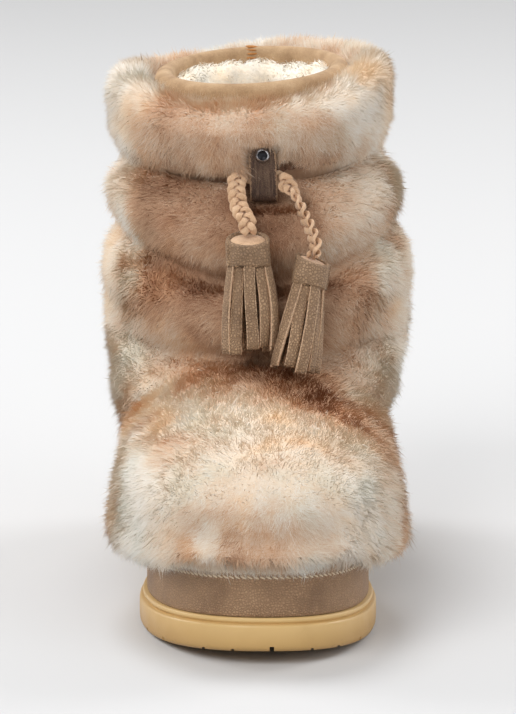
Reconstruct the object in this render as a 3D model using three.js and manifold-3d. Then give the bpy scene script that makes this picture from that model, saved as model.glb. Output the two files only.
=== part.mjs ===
// A shearling boot for the right foot: gum sole, leather rand, fur upper, fur cuff,
// leather collar binding, and a braided drawcord with two leather tassels.
// Millimetres, +Z up, toe towards -Y, inner side of the foot towards +X.
import * as THREE from "three";
import { mergeVertices } from "three/addons/utils/BufferGeometryUtils.js";
import Module from "manifold-3d";

const wasm = await Module();
wasm.setup();

// Driving sizes
const SOLE_LENGTH = 262;
const BALL_WIDTH = 98.5;
const SOLE_THICKNESS = 14; // at the ball and the toe
const HEEL_LIFT = 8; // how much thicker the sole is under the heel
const TOE_SPRING = 6.5;
const HEEL_BEVEL = 1.5;
const ARCH_RISE = 2;
const GAP = 0.3; // between pieces that touch
const RAND_HEIGHT = 19.5;
const RAND_THICKNESS = 1.8;
const RAND_INSET = 3.2; // from the edge of the sole
const WALL_INSET = RAND_INSET + RAND_THICKNESS + GAP;
const WALL_THICKNESS = 3.3; // skin and lining behind the rand
const FRINGE_REACH = 13; // how far the fur's lower edge stands out from the sole's edge
const INSOLE_THICKNESS = 4;
const COLLAR_HEIGHT = 212;
const LEAN = 0.055; // the shaft's top rises this much per millimetre to the inner side
const LEAN_FROM = 150;
const SHIFT = 2.4; // and stands this far to the outer side of the foot's middle
const SHIFT_FROM = 120;
const AROUND = 44; // points round each section
const NOSE = { from: 95, length: 70 }; // where the foot's front part narrows
const LOCK = { height: 4.2, droop: 1.8, share: 0.5 };
const VAMP_CREASE = { throat: { s: 148, z: 103 }, foot: { s: 124, z: 40 }, width: 13, depth: 0.09 };
const QUIET_FUR = { middle: 8, half: 34, from: 100, above: 92, soft: 8 }; // where the tassels lie on the fur

// Plan of the sole, heel 0 to toe 1: half width as a share of the ball's, and the middle line's bend in mm
const PLAN = [
  { at: 0.0, half: 0.75, bend: 0 },
  { at: 0.16, half: 0.77, bend: 0 },
  { at: 0.4, half: 0.745, bend: -2 },
  { at: 0.55, half: 0.87, bend: -1 },
  { at: 0.68, half: 1.0, bend: 0 },
  { at: 0.82, half: 0.99, bend: 1.2 },
  { at: 1.0, half: 0.95, bend: 3.5 },
];
const TOE_ROUND = { from: 0.7, power: 2.25 };
const HEEL_ROUND = { from: 0.16, power: 2.15 };

// The fur's outer surface, from the toe bulge to the cord's groove. Front and back are
// distances from the sole's heel edge, half is the half width, z holds the heights at the
// front, the sides and the back, and oval goes from the foot's plan (0) to the leg's (1).
// nose is how wide the front part is, as a share of what the plan gives.
const FUR_SECTIONS = [
  { name: "toe bulge", front: 271, back: -11, half: 63, nose: 1, z: [53, 50, 58], oval: 0.06 },
  { name: "toe top", front: 267, back: -13, half: 63.5, nose: 0.97, z: [68, 62, 68], oval: 0.14 },
  { name: "toe crown", front: 250, back: -13, half: 63.5, nose: 0.93, z: [81, 73, 77], oval: 0.25 },
  { name: "vamp", front: 222, back: -13, half: 63.5, nose: 0.84, z: [90, 82, 86], oval: 0.4 },
  { name: "instep", front: 190, back: -13, half: 63.5, nose: 0.72, z: [96.5, 90, 94], oval: 0.58 },
  { name: "throat", front: 163, back: -13, half: 66, nose: 0.62, z: [101, 98, 102], oval: 0.78 },
  { name: "instep crease", front: 145, back: -12, half: 66.5, nose: 0.9, z: [104, 106.4, 109.9], oval: 0.92 },
  { name: "low roll, foot", front: 150, back: -14, half: 65.5, z: [111.1, 117.1, 119.4], oval: 1 },
  { name: "low roll", front: 150, back: -15, half: 66.5, z: [120.6, 127.4, 128.5], oval: 1 },
  { name: "low roll, top", front: 144, back: -12, half: 64.5, z: [128.5, 138.6, 136.3], oval: 1 },
  { name: "crease", front: 132, back: -5, half: 59, z: [134, 147.8, 144.3], oval: 1 },
  { name: "high roll, foot", front: 140, back: -13, half: 62.5, z: [142.1, 154.7, 152.4], oval: 1 },
  { name: "high roll", front: 141, back: -15, half: 63.5, z: [152.4, 163.9, 162.8], oval: 1 },
  { name: "high roll, top", front: 133, back: -10, half: 60, z: [162.8, 171.6, 170.6], oval: 1 },
];
// The skin from the cord's groove to the collar edge, outside
const NECK_SECTIONS = [
  { name: "groove, low", front: 115.4, back: 1.9, half: 49.6, z: [168.5, 175.3, 175.3], oval: 1 },
  { name: "groove, high", front: 115, back: 1.9, half: 49.6, z: [186, 186, 186], oval: 1 },
  { name: "under the cuff", front: 114, back: 3, half: 48, z: [193, 193, 193], oval: 1 },
  { name: "below the binding", front: 111.5, back: 6, half: 42, z: [203.5, 203.5, 203.5], oval: 1 },
  { name: "binding seat", front: 110.4, back: 7.6, half: 40.4, z: [205.5, 205.5, 205.5], oval: 1 },
  { name: "collar edge, outside", front: 110.4, back: 7.6, half: 40.4, z: [212, 212, 212], oval: 1 },
];
// The inside of the upper, from the collar edge down to the foot
const CAVITY_SECTIONS = [
  { name: "collar edge, inside", front: 105.9, back: 12.1, half: 35.9, z: [212, 212, 212], oval: 1 },
  { name: "lining top", front: 105.9, back: 12.1, half: 35.9, z: [202, 202, 202], oval: 1 },
  { name: "neck", front: 108, back: 9, half: 39, z: [184, 184, 184], oval: 1 },
  { name: "high roll, inside", front: 120, back: 5, half: 45.5, z: [159.3, 162.8, 162.8], oval: 1 },
  { name: "crease, inside", front: 118, back: 6, half: 44.5, z: [138.6, 146.7, 144.3], oval: 1 },
  { name: "low roll, inside", front: 131, back: 4, half: 48, z: [115.9, 124.1, 125.2], oval: 1 },
  { name: "instep, inside", front: 140, back: 5, half: 46, z: [92, 96, 98], oval: 0.85 },
  { name: "vamp, inside", front: 178, back: 6, half: 44.5, z: [84, 80, 80], oval: 0.6 },
  { name: "toe crown, inside", front: 225, back: 6, half: 44, z: [74, 66, 64], oval: 0.35 },
  { name: "toe wall, inside", front: 250, back: 7, half: 44, z: [56, 50, 52], oval: 0.1 },
];
// The cuff, round its section: inner top, over the top, down outside and up inside
const CUFF_OUTSIDE = [
  { name: "beside the binding", front: 114, back: 3.6, half: 43.6, z: [208.5, 209, 209], oval: 1 },
  { name: "top, inner", front: 117, back: 0.5, half: 47, z: [213, 214, 214], oval: 1 },
  { name: "top", front: 124.5, back: -7, half: 57, z: [213, 216, 214.5], oval: 1 },
  { name: "shoulder", front: 132, back: -14, half: 62, z: [206.5, 211.5, 208.5], oval: 1 },
  { name: "widest", front: 134.5, back: -15.5, half: 62.5, z: [198, 199.5, 200], oval: 1 },
  { name: "lower", front: 133.5, back: -14.5, half: 62, z: [188.5, 190, 190.5], oval: 1 },
  { name: "hem", front: 129.5, back: -9.5, half: 59, z: [182, 183.5, 184], oval: 1 },
];
const CUFF_INSIDE = [
  { name: "hem, inside", front: 122.6, back: -3.2, half: 54, z: [186, 187.5, 187.5], oval: 1 },
  { name: "inside, low", front: 117.4, back: 0.4, half: 50.8, z: [193, 193.5, 193.5], oval: 1 },
  { name: "inside, high", front: 114.2, back: 3.4, half: 44.6, z: [204.5, 204.5, 204.5], oval: 1 },
];
const CUFF_NOTCH = { low: 179, high: 194.5, from: 125.6, side: 7.2, flare: 2.5 };

// The binding's section as steps outwards from the collar's wall and heights: a folded strip over the edge
const COLLAR = { front: 105.9, back: 12.1, half: 35.9 };
const COLLAR_WALL = 4.5;
const BINDING_STRIP = 1.5;
const BINDING_SECTION = [
  { out: COLLAR_WALL + GAP + BINDING_STRIP, z: 206.5 },
  { out: COLLAR_WALL + GAP + BINDING_STRIP, z: 212 },
  { out: COLLAR_WALL + 0.5, z: 214.2 },
  { out: COLLAR_WALL / 2, z: 215 },
  { out: -0.9, z: 214 },
  { out: -GAP - BINDING_STRIP, z: 211.6 },
  { out: -GAP - BINDING_STRIP, z: 203 },
  { out: -GAP, z: 203 },
  { out: -GAP, z: 212 + GAP },
  { out: COLLAR_WALL + GAP, z: 212 + GAP },
  { out: COLLAR_WALL + GAP, z: 206.5 },
];

// The drawcord: a flat braid in the groove, and its two ends
const BRAID = { width: 6.2, thickness: 3.4, sides: 8 };
const CORD_LOOP = { front: 120.9, back: -0.7, half: 52.2, z: 181.8 };
const TAB_MIDDLE = 4.2;
const CORD_ENDS = [
  {
    side: "left",
    route: [
      [3.8, 124, 176], [-0.7, 124.1, 176], [-4.7, 125.4, 175.8], [-8.1, 129.6, 174.4],
      [-9.4, 135.6, 171], [-8.7, 141.8, 166.4],
    ],
  },
  {
    side: "right",
    route: [
      [4.2, 124, 176], [8.5, 124.1, 176], [12.1, 125.6, 175.6], [15.1, 130.2, 173.6],
      [18.1, 136.2, 169.8], [21.1, 141.8, 163.6],
    ],
  },
];
const BRAID_FACES = { left: [0.25, -1, 0], right: [0.8, 0.6, 0.3] }; // the way each end's broad side faces

// Tassels: where the sleeve's top middle is, the way it hangs, and its size
const TASSELS = [
  {
    side: "left", top: [-3.2, 149.8, 159.6], hang: [0.01, 0.24, -1],
    wide: 17.6, deep: 13.6, sleeve: 13, fringe: 37, splay: 0.5, turn: 0,
  },
  {
    side: "right", top: [24.5, 150, 149.6], hang: [-0.2, 0.36, -1],
    wide: 15.4, deep: 12.6, sleeve: 12, fringe: 37, splay: 1.6, turn: 0.5,
  },
];
const SLEEVE_THICKNESS = 1.5;
const CORD_IN_SLEEVE = 1.6; // how far a cord end goes in
const CORE_TOP = 2.2; // the core starts this far below the sleeve's top
const CORE_BELOW = 3.5; // and ends this far under the sleeve
const STRIPS = {
  count: 9, rows: 5, width: 4.3, widening: 0.5, thickness: 1.3, rootThickness: 1.6, first: 0.35,
};
const STRIP_SWELL = { amount: 0.42, turn: 0.62, splay: 0.35 };

// The tab is folded round the cord: its front and back faces, and the heights of its ends and its fold
const TAB = {
  width: 11.5, thickness: 1.5, frontFace: 128.4, backFace: 115.9,
  top: 192, backTop: 184.4, foldTop: 173, foldDrop: 4.6,
};
const RIVET = { z: 187.5, radius: 3.1, height: 1.5, bore: 1.3 };
const SIDE_LOOP = {
  width: 14, thickness: 1.4, zLow: 176.4, zHigh: 187, corner: 1.6, skin: 50.2, bend: 0.0072,
};

// Tread
const TREAD = { width: 1.7, depth: 2.2, from: 0.56, steps: 6, below: 5 };
const TREAD_LENGTHWISE = [-29, -14.5, 0.5, 15.5, 30];
const TREAD_ACROSS = [22, 44, 66, 150, 170, 190, 210, 230];

const clamp01 = (v) => Math.min(1, Math.max(0, v));
const mix = (a, b, t) => a + (b - a) * t;
const smooth = (v) => clamp01(v) ** 2 * (3 - 2 * clamp01(v));
const bump = (v) => (Math.abs(v) < 1 ? Math.cos((v * Math.PI) / 2) ** 2 : 0);
const random = (i, j) => {
  const v = Math.sin(i * 127.1 + j * 311.7) * 43758.5453;
  return v - Math.floor(v);
};

// A value of a table at a place between its rows, on a smooth curve through them.
function fromTable(table, key, at) {
  let k = 0;
  while (k < table.length - 2 && at > table[k + 1].at) k++;
  const slope = (n) => {
    const a = table[Math.max(0, n - 1)];
    const b = table[Math.min(table.length - 1, n + 1)];
    return (b[key] - a[key]) / (b.at - a.at);
  };
  const a = table[k];
  const b = table[k + 1];
  const step = b.at - a.at;
  const t = clamp01((at - a.at) / step);
  const [t2, t3] = [t * t, t * t * t];
  return (
    (2 * t3 - 3 * t2 + 1) * a[key] + (t3 - 2 * t2 + t) * step * slope(k) +
    (3 * t2 - 2 * t3) * b[key] + (t3 - t2) * step * slope(k + 1)
  );
}

const lengthShare = (y) => clamp01(-y / SOLE_LENGTH);

// Height of the sole's underside at a share of its length: flat at heel and forefoot
function undersideZ(share) {
  const spring = TOE_SPRING * clamp01((share - 0.76) / 0.24) ** 1.8;
  const arch = ARCH_RISE * bump((share - 0.43) / 0.13);
  const bevel = HEEL_BEVEL * clamp01((0.045 - share) / 0.045) ** 1.5;
  return spring + arch + bevel;
}

// Height of the sole's top, which carries the upper
function topZ(share) {
  const spring = TOE_SPRING * clamp01((share - 0.72) / 0.28) ** 1.7;
  return SOLE_THICKNESS + spring + HEEL_LIFT * smooth((0.62 - share) / 0.42);
}

// Half width and middle of the sole at a share of its length
function planAt(share) {
  const toe = 1 - clamp01((share - TOE_ROUND.from) / (1 - TOE_ROUND.from)) ** TOE_ROUND.power;
  const heel = 1 - clamp01((HEEL_ROUND.from - share) / HEEL_ROUND.from) ** HEEL_ROUND.power;
  const round = toe ** (1 / TOE_ROUND.power) * heel ** (1 / HEEL_ROUND.power);
  return {
    half: (BALL_WIDTH / 2) * fromTable(PLAN, "half", share) * round,
    middle: fromTable(PLAN, "bend", share),
  };
}

// The edge of the sole as points round the foot, from the toe over the inner side, and their outward normals
const TURN = Array.from({ length: AROUND }, (_, j) => (2 * Math.PI * j) / AROUND);

function edgePoint(turn) {
  const share = (1 + Math.cos(turn)) / 2;
  const { half, middle } = planAt(share);
  return new THREE.Vector2(middle + Math.sign(Math.sin(turn)) * half, -SOLE_LENGTH * share);
}
const EDGE = TURN.map(edgePoint);
const EDGE_NORMAL = TURN.map((turn) => {
  const along = edgePoint(turn + 0.02).sub(edgePoint(turn - 0.02));
  return new THREE.Vector2(-along.y, along.x).multiplyScalar(-1).normalize();
});

// A section that follows the edge of the sole, moved out by a distance, at a height above the sole's top
function edgeRing(out, up, base = topZ) {
  return EDGE.map((p, j) => {
    const [x, y] = [p.x + EDGE_NORMAL[j].x * out, p.y + EDGE_NORMAL[j].y * out];
    return new THREE.Vector3(x, y, base(lengthShare(p.y)) + up);
  });
}

// A section of the upper from one row of a table
function bodyRing(row) {
  return TURN.map((turn, j) => {
    const [c, s] = [Math.cos(turn), Math.sin(turn)];
    const [middle, depth] = [(row.front + row.back) / 2, (row.front - row.back) / 2];
    const foot = {
      x: (EDGE[j].x * row.half * 2) / BALL_WIDTH,
      y: mix(row.back, row.front, lengthShare(EDGE[j].y)),
    };
    const leg = { x: row.half * s, y: middle + depth * c };
    const [front, side, back] = row.z;
    const z = side + ((c > 0 ? front : back) - side) * c * c;
    const y = mix(foot.y, leg.y, row.oval);
    const x = mix(foot.x, leg.x, row.oval) * mix(1, row.nose ?? 1, smooth((y - NOSE.from) / NOSE.length));
    return new THREE.Vector3(x, -y, z);
  });
}

// Sections on smooth curves through the given ones, with some added between each two
function smoothRings(rings, between) {
  const through = (points) => new THREE.CatmullRomCurve3(points, false, "centripetal");
  const curves = TURN.map((_, j) => through(rings.map((ring) => ring[j])));
  const count = (rings.length - 1) * (between + 1);
  return Array.from({ length: count + 1 }, (_, i) => curves.map((curve) => curve.getPoint(i / count)));
}

// Fur locks: about half of the sections' points, picked at random, are drawn out to tips that hang a little
function withLocks(rings, seed, quiet = () => 1) {
  return rings.map((ring, i) =>
    ring.map((p, j) => {
      if (random(i * 3 + seed, j) < LOCK.share || i === 0 || i === rings.length - 1) return p;
      const before = ring[(j + AROUND - 1) % AROUND];
      const after = ring[(j + 1) % AROUND];
      const along = after.clone().sub(before);
      const up = rings[i + 1][j].clone().sub(rings[i - 1][j]);
      const normal = along.cross(up).normalize();
      const tall = LOCK.height * (0.45 + 0.55 * random(i + seed, j)) * quiet(p);
      const tip = p.clone().addScaledVector(normal, tall);
      tip.z -= LOCK.droop * random(j, i + seed) * quiet(p);
      return tip;
    }),
  );
}

// The crease between the fur of the toe and the fur of the heel, which runs from the throat down to the sole
function withVampCrease(rings) {
  const { throat, foot, width, depth } = VAMP_CREASE;
  return rings.map((ring) =>
    ring.map((p) => {
      const share = clamp01((p.z - foot.z) / (throat.z - foot.z));
      const line = mix(foot.s, throat.s, share);
      const near = bump((-p.y - line) / width) * smooth((throat.z + 6 - p.z) / 8);
      return new THREE.Vector3(p.x * (1 - near * depth), p.y, p.z);
    }),
  );
}

// Triangles between sections. Closed sections wrap round; a loop of sections closes on its first.
function loft(rings, { loop = false } = {}) {
  const around = rings[0].length;
  const positions = rings.flat().flatMap((p) => [p.x, p.y, p.z]);
  const index = [];
  const last = loop ? rings.length : rings.length - 1;
  for (let i = 0; i < last; i++) {
    const next = (i + 1) % rings.length;
    for (let j = 0; j < around; j++) {
      const k = (j + 1) % around;
      const [a, b, c, d] = [i * around + j, i * around + k, next * around + k, next * around + j];
      index.push(a, b, c, a, c, d);
    }
  }
  return { positions, index, around, rings: rings.length };
}

// Closes the two ends of a loft of the foot's plan, with strips straight across the foot
function crossCaps(made) {
  const { around, rings, index } = made;
  const cap = (first, flip) => {
    for (let j = 0; j < around / 2; j++) {
      const [a, b] = [first + j, first + j + 1];
      const [c, d] = [first + ((around - j - 1) % around), first + ((around - j) % around)];
      const tris = [[a, b, c], [a, c, d]].filter((t) => new Set(t).size === 3);
      for (const [p, q, r] of tris) index.push(...(flip ? [p, r, q] : [p, q, r]));
    }
  };
  cap(0, true);
  cap((rings - 1) * around, false);
  return made;
}

function geometryFrom({ positions, index }) {
  const geometry = new THREE.BufferGeometry();
  geometry.setAttribute("position", new THREE.Float32BufferAttribute(positions, 3));
  geometry.setIndex(index);
  return geometry;
}

// A closed geometry as a solid that can be cut and joined; an inside-out one is turned round
function solidOf(geometry) {
  const bare = geometry.clone();
  for (const name of Object.keys(bare.attributes)) if (name !== "position") bare.deleteAttribute(name);
  const merged = mergeVertices(bare, 1e-4);
  const vertProperties = merged.attributes.position.array;
  const make = (triVerts) => new wasm.Manifold(new wasm.Mesh({ numProp: 3, vertProperties, triVerts }));
  const triVerts = new Uint32Array(merged.index.array);
  const solid = make(triVerts);
  if (solid.volume() > 0) return solid;
  for (let i = 0; i < triVerts.length; i += 3) {
    [triVerts[i], triVerts[i + 1]] = [triVerts[i + 1], triVerts[i]];
  }
  return make(triVerts);
}

function geometryOf(solid) {
  const { vertProperties, triVerts, numProp } = solid.getMesh();
  const positions = [];
  for (let i = 0; i < vertProperties.length; i += numProp) {
    positions.push(...vertProperties.subarray(i, i + 3));
  }
  return geometryFrom({ positions, index: [...triVerts] });
}

const loopSolid = (rings) => solidOf(geometryFrom(loft(rings, { loop: true })));
const slabSolid = (rings) => solidOf(geometryFrom(crossCaps(loft(rings))));

// An outline in the side plane (distance from the heel, height), extruded across the foot about a middle
function sideExtrusion(outline, width, middle) {
  const shape = new THREE.Shape(outline.map(([s, z]) => new THREE.Vector2(-s, z)));
  const geometry = new THREE.ExtrudeGeometry(shape, { depth: width, bevelEnabled: false, steps: 1 });
  const turned = new THREE.Matrix4().makeBasis(
    new THREE.Vector3(0, 1, 0), new THREE.Vector3(0, 0, 1), new THREE.Vector3(1, 0, 0),
  );
  return geometry.applyMatrix4(turned).translate(middle - width / 2, 0, 0);
}

function makeOutsole() {
  const wall = (share) => topZ(share) - 2.8;
  const solid = slabSolid([
    edgeRing(-2.2, 0, undersideZ),
    edgeRing(-0.5, 0.7, undersideZ),
    edgeRing(0, 2.6, undersideZ),
    edgeRing(0, -1, wall),
    edgeRing(-0.7, 0, wall),
    edgeRing(-2.3, 0.1, wall),
    edgeRing(-1.5, 0.9, wall),
    edgeRing(-1.5, -0.5),
    edgeRing(-2, 0),
  ]);
  const { width, depth, from, steps, below } = TREAD;
  const reach = SOLE_LENGTH + 1;
  const lengthwise = TREAD_LENGTHWISE.map((x) => {
    const stretch = Array.from({ length: steps + 1 }, (_, i) => mix(from, 1, i / steps));
    const roof = stretch.map((share) => [share * reach, undersideZ(share) + depth]);
    const floor = [[reach, -below], [from * reach, -below]];
    return solidOf(sideExtrusion([...roof, ...floor], width, x));
  });
  const across = TREAD_ACROSS.map((s) => {
    const roof = undersideZ(s / SOLE_LENGTH) + depth;
    const slot = new THREE.BoxGeometry(BALL_WIDTH * 1.1, width, roof + below);
    return solidOf(slot.translate(0, -s, (roof - below) / 2));
  });
  return [...lengthwise, ...across].reduce((sole, cutter) => sole.subtract(cutter), solid);
}

const makeRand = () =>
  loopSolid([
    edgeRing(-RAND_INSET, GAP),
    edgeRing(-RAND_INSET, RAND_HEIGHT * 0.55),
    edgeRing(-RAND_INSET - 0.5, RAND_HEIGHT),
    edgeRing(-RAND_INSET - RAND_THICKNESS, RAND_HEIGHT),
    edgeRing(-RAND_INSET - RAND_THICKNESS, GAP),
  ]);

const makeInsole = () => {
  const inset = WALL_INSET + WALL_THICKNESS + 0.4;
  return slabSolid([
    edgeRing(-inset, GAP),
    edgeRing(-inset, INSOLE_THICKNESS - 1),
    edgeRing(-inset - 2, INSOLE_THICKNESS + GAP),
  ]);
};

// Locks stay short where the tab and the tassels lie on the fur
function besideTassels(p) {
  const { middle, half, from, above, soft } = QUIET_FUR;
  const front = smooth((-p.y - from) / (2 * soft)) * smooth((p.z - above) / soft);
  return 1 - 0.9 * front * smooth((half - Math.abs(p.x - middle)) / soft);
}

function makeUpper() {
  const hem = [
    edgeRing(-WALL_INSET, GAP),
    edgeRing(-WALL_INSET, RAND_HEIGHT + GAP + 0.1),
    edgeRing(-RAND_INSET + 0.5, RAND_HEIGHT + GAP + 0.1),
    edgeRing(-RAND_INSET + 0.6, RAND_HEIGHT - 2),
    edgeRing(4, RAND_HEIGHT - 4),
  ];
  const pile = smoothRings([edgeRing(FRINGE_REACH, RAND_HEIGHT - 2), ...FUR_SECTIONS.map(bodyRing)], 1);
  const fur = withLocks(withVampCrease(pile), 3, besideTassels);
  const neck = NECK_SECTIONS.map(bodyRing);
  const cavity = CAVITY_SECTIONS.map(bodyRing);
  const inset = WALL_INSET + WALL_THICKNESS;
  const foot = [edgeRing(1 - inset, RAND_HEIGHT), edgeRing(-inset, GAP)];
  return loopSolid([...hem, ...fur, ...neck, ...cavity, ...foot]);
}

function makeCuff() {
  const besideTab = (p) => (-p.y > CUFF_NOTCH.from - 15 && Math.abs(p.x - TAB_MIDDLE) < 14 ? 0.25 : 1);
  const outside = withLocks(smoothRings(CUFF_OUTSIDE.map(bodyRing), 1), 11, besideTab);
  const ring = loopSolid([...outside, ...CUFF_INSIDE.map(bodyRing)]);
  const { low, high, from, side, flare } = CUFF_NOTCH;
  const halves = [[side + flare, low], [side, (low + high) / 2], [side - flare, high]];
  const right = halves.map(([x, z]) => new THREE.Vector2(TAB_MIDDLE + x, z));
  const left = halves.map(([x, z]) => new THREE.Vector2(TAB_MIDDLE - x, z)).reverse();
  const mouth = new THREE.Shape([...right, ...left]);
  const notch = new THREE.ExtrudeGeometry(mouth, { depth: 20, bevelEnabled: false });
  return ring.subtract(solidOf(notch.rotateX(Math.PI / 2).translate(0, -from, 0)));
}

const makeBinding = () =>
  loopSolid(
    BINDING_SECTION.map(({ out, z }) => {
      const row = { front: COLLAR.front + out, back: COLLAR.back - out, half: COLLAR.half + out };
      return bodyRing({ ...row, z: [z, z, z], oval: 1 });
    }),
  );

// The braid's section, broad side upright, as steps outwards and upwards
const BRAID_SECTION = Array.from({ length: BRAID.sides }, (_, k) => {
  const turn = (2 * Math.PI * (k + 0.5)) / BRAID.sides;
  const corner = 0.5 / Math.cos(Math.PI / BRAID.sides);
  return { out: BRAID.thickness * corner * Math.cos(turn), up: BRAID.width * corner * Math.sin(turn) };
});

const makeCordLoop = () =>
  loopSolid(
    BRAID_SECTION.map(({ out, up }) => {
      const z = CORD_LOOP.z + up;
      const row = { front: CORD_LOOP.front + out, back: CORD_LOOP.back - out, half: CORD_LOOP.half + out };
      return bodyRing({ ...row, z: [z, z, z], oval: 1 });
    }),
  );

// A tube of the braid's section along a route, its broad side facing the given way
function makeCordEnd({ side, route }) {
  const { top, hang } = TASSELS.find((tassel) => tassel.side === side);
  const sleeve = [-3.5, CORD_IN_SLEEVE].map((down) => top.map((v, i) => v + hang[i] * down));
  const points = [...route, ...sleeve].map(([x, s, z]) => new THREE.Vector3(x, -s, z));
  const curve = new THREE.CatmullRomCurve3(points, false, "centripetal");
  const steps = 14;
  const end = new THREE.Vector3(...BRAID_FACES[side]).normalize();
  const start = new THREE.Vector3(0, -1, 0);
  const rings = Array.from({ length: steps + 1 }, (_, i) => {
    const share = i / steps;
    const at = curve.getPointAt(share);
    const along = curve.getTangentAt(share);
    const facing = start.clone().lerp(end, smooth(share * 1.3));
    const across = along.clone().cross(facing).normalize();
    const out = across.clone().cross(along).normalize();
    return BRAID_SECTION.map((p) => at.clone().addScaledVector(out, p.out).addScaledVector(across, p.up));
  });
  const made = loft(rings);
  for (const [first, flip] of [[0, true], [steps * BRAID.sides, false]]) {
    for (let k = 1; k < BRAID.sides - 1; k++) {
      made.index.push(first, ...(flip ? [first + k + 1, first + k] : [first + k, first + k + 1]));
    }
  }
  return solidOf(geometryFrom(made));
}

// Places a tassel piece made about the Z axis, hanging down from the origin, where the tassel hangs
function hangTassel(solid, { top, hang, turn }) {
  const down = new THREE.Vector3(hang[0], -hang[1], hang[2]).normalize();
  const place = new THREE.Matrix4().compose(
    new THREE.Vector3(top[0], -top[1], top[2]),
    new THREE.Quaternion().setFromUnitVectors(new THREE.Vector3(0, 0, -1), down),
    new THREE.Vector3(1, 1, 1),
  );
  const spun = new THREE.Matrix4().makeRotationZ(turn);
  return solidOf(geometryOf(solid).applyMatrix4(spun).applyMatrix4(place));
}

function ovalShape(wide, deep) {
  const shape = new THREE.Shape();
  shape.absellipse(0, 0, wide / 2, deep / 2, 0, 2 * Math.PI);
  return shape;
}

function makeSleeve(tassel) {
  const { wide, deep, sleeve } = tassel;
  const shape = ovalShape(wide, deep);
  shape.holes.push(ovalShape(wide - 2 * SLEEVE_THICKNESS, deep - 2 * SLEEVE_THICKNESS));
  const geometry = new THREE.ExtrudeGeometry(shape, { depth: sleeve, bevelEnabled: false, curveSegments: 8 });
  return hangTassel(solidOf(geometry.translate(0, 0, -sleeve)), tassel);
}

// One strip of a fringe: it leaves the core at an angle round it, swells out and hangs down
function makeStrip(turn, tall, { coreWide, coreDeep, top, splay }) {
  const { rows, width, widening, thickness, rootThickness } = STRIPS;
  const across = new THREE.Vector2(-Math.sin(turn) * coreWide, Math.cos(turn) * coreDeep).normalize();
  const out = new THREE.Vector2(across.y, -across.x);
  const rings = Array.from({ length: rows }, (_, i) => {
    const share = i / (rows - 1);
    const { amount, turn: bend, splay: spread } = STRIP_SWELL;
    const swell = 1 + amount * Math.sin(Math.PI * share * bend) + (splay - 1) * spread * share ** 2;
    const [x, y] = [(Math.cos(turn) * coreWide * swell) / 2, (Math.sin(turn) * coreDeep * swell) / 2];
    const half = (width + widening * share) / 2;
    const inwards = i === 0 ? rootThickness : thickness;
    const corner = (a, b) =>
      new THREE.Vector3(x + across.x * a + out.x * b, y + across.y * a + out.y * b, top - tall * share);
    return [corner(-half, 0), corner(half, 0), corner(half, -inwards), corner(-half, -inwards)];
  });
  const made = loft(rings);
  const last = (rows - 1) * 4;
  made.index.push(0, 2, 1, 0, 3, 2, last, last + 1, last + 2, last, last + 2, last + 3);
  return solidOf(geometryFrom(made));
}

// The fringe: a rolled core inside the sleeve, and strips below it, each joined to the core
function makeFringe(tassel) {
  const { wide, deep, sleeve, fringe, splay } = tassel;
  const inset = SLEEVE_THICKNESS + GAP;
  const [coreWide, coreDeep] = [wide - 2 * inset, deep - 2 * inset];
  const depth = sleeve + CORE_BELOW - CORE_TOP;
  const coreShape = ovalShape(coreWide, coreDeep);
  const core = new THREE.ExtrudeGeometry(coreShape, { depth, bevelEnabled: false, curveSegments: 6 });
  const strips = Array.from({ length: STRIPS.count }, (_, k) => {
    const turn = (2 * Math.PI * k) / STRIPS.count + STRIPS.first;
    const tall = fringe * (0.94 + 0.09 * random(k, tassel.side.length));
    return makeStrip(turn, tall, { coreWide, coreDeep, top: -sleeve - 0.5, splay });
  });
  const joined = strips.reduce((a, b) => a.add(b), solidOf(core.translate(0, 0, -sleeve - CORE_BELOW)));
  return hangTassel(joined, tassel);
}

// The tab: a strip folded round the cord, with a rounded top where the rivet holds it
function makeTab() {
  const { frontFace, thickness, backFace, foldTop, foldDrop, backTop, top, width } = TAB;
  const middle = (frontFace + backFace) / 2;
  const foldSteps = 6;
  const arc = (radius, drop, flip) =>
    Array.from({ length: foldSteps + 1 }, (_, i) => {
      const turn = (Math.PI * i) / foldSteps;
      return [middle + (flip ? -1 : 1) * radius * Math.cos(turn), foldTop - drop * Math.sin(turn)];
    });
  const outer = (frontFace - backFace) / 2;
  const outside = [[frontFace, top], ...arc(outer, foldDrop, false), [backFace, backTop]];
  const inner = arc(outer - thickness, foldDrop - thickness, true);
  const inside = [[backFace + thickness, backTop], ...inner, [frontFace - thickness, top]];
  const strip = solidOf(sideExtrusion([...outside, ...inside], width, TAB_MIDDLE));
  const reach = 20;
  const face = new THREE.Shape();
  face.moveTo(-width / 2, foldTop - reach);
  face.lineTo(width / 2, foldTop - reach);
  face.lineTo(width / 2, top - width / 2);
  face.absarc(0, top - width / 2, width / 2, 0, Math.PI, false);
  const mould = new THREE.ExtrudeGeometry(face, { depth: 2 * reach, bevelEnabled: false, curveSegments: 8 });
  mould.rotateX(Math.PI / 2).translate(TAB_MIDDLE, -middle + reach, 0);
  const bore = new THREE.CylinderGeometry(RIVET.bore + GAP, RIVET.bore + GAP, 3 * thickness, 12);
  bore.translate(TAB_MIDDLE, -frontFace, RIVET.z);
  return strip.intersect(solidOf(mould)).subtract(solidOf(bore));
}

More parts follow.
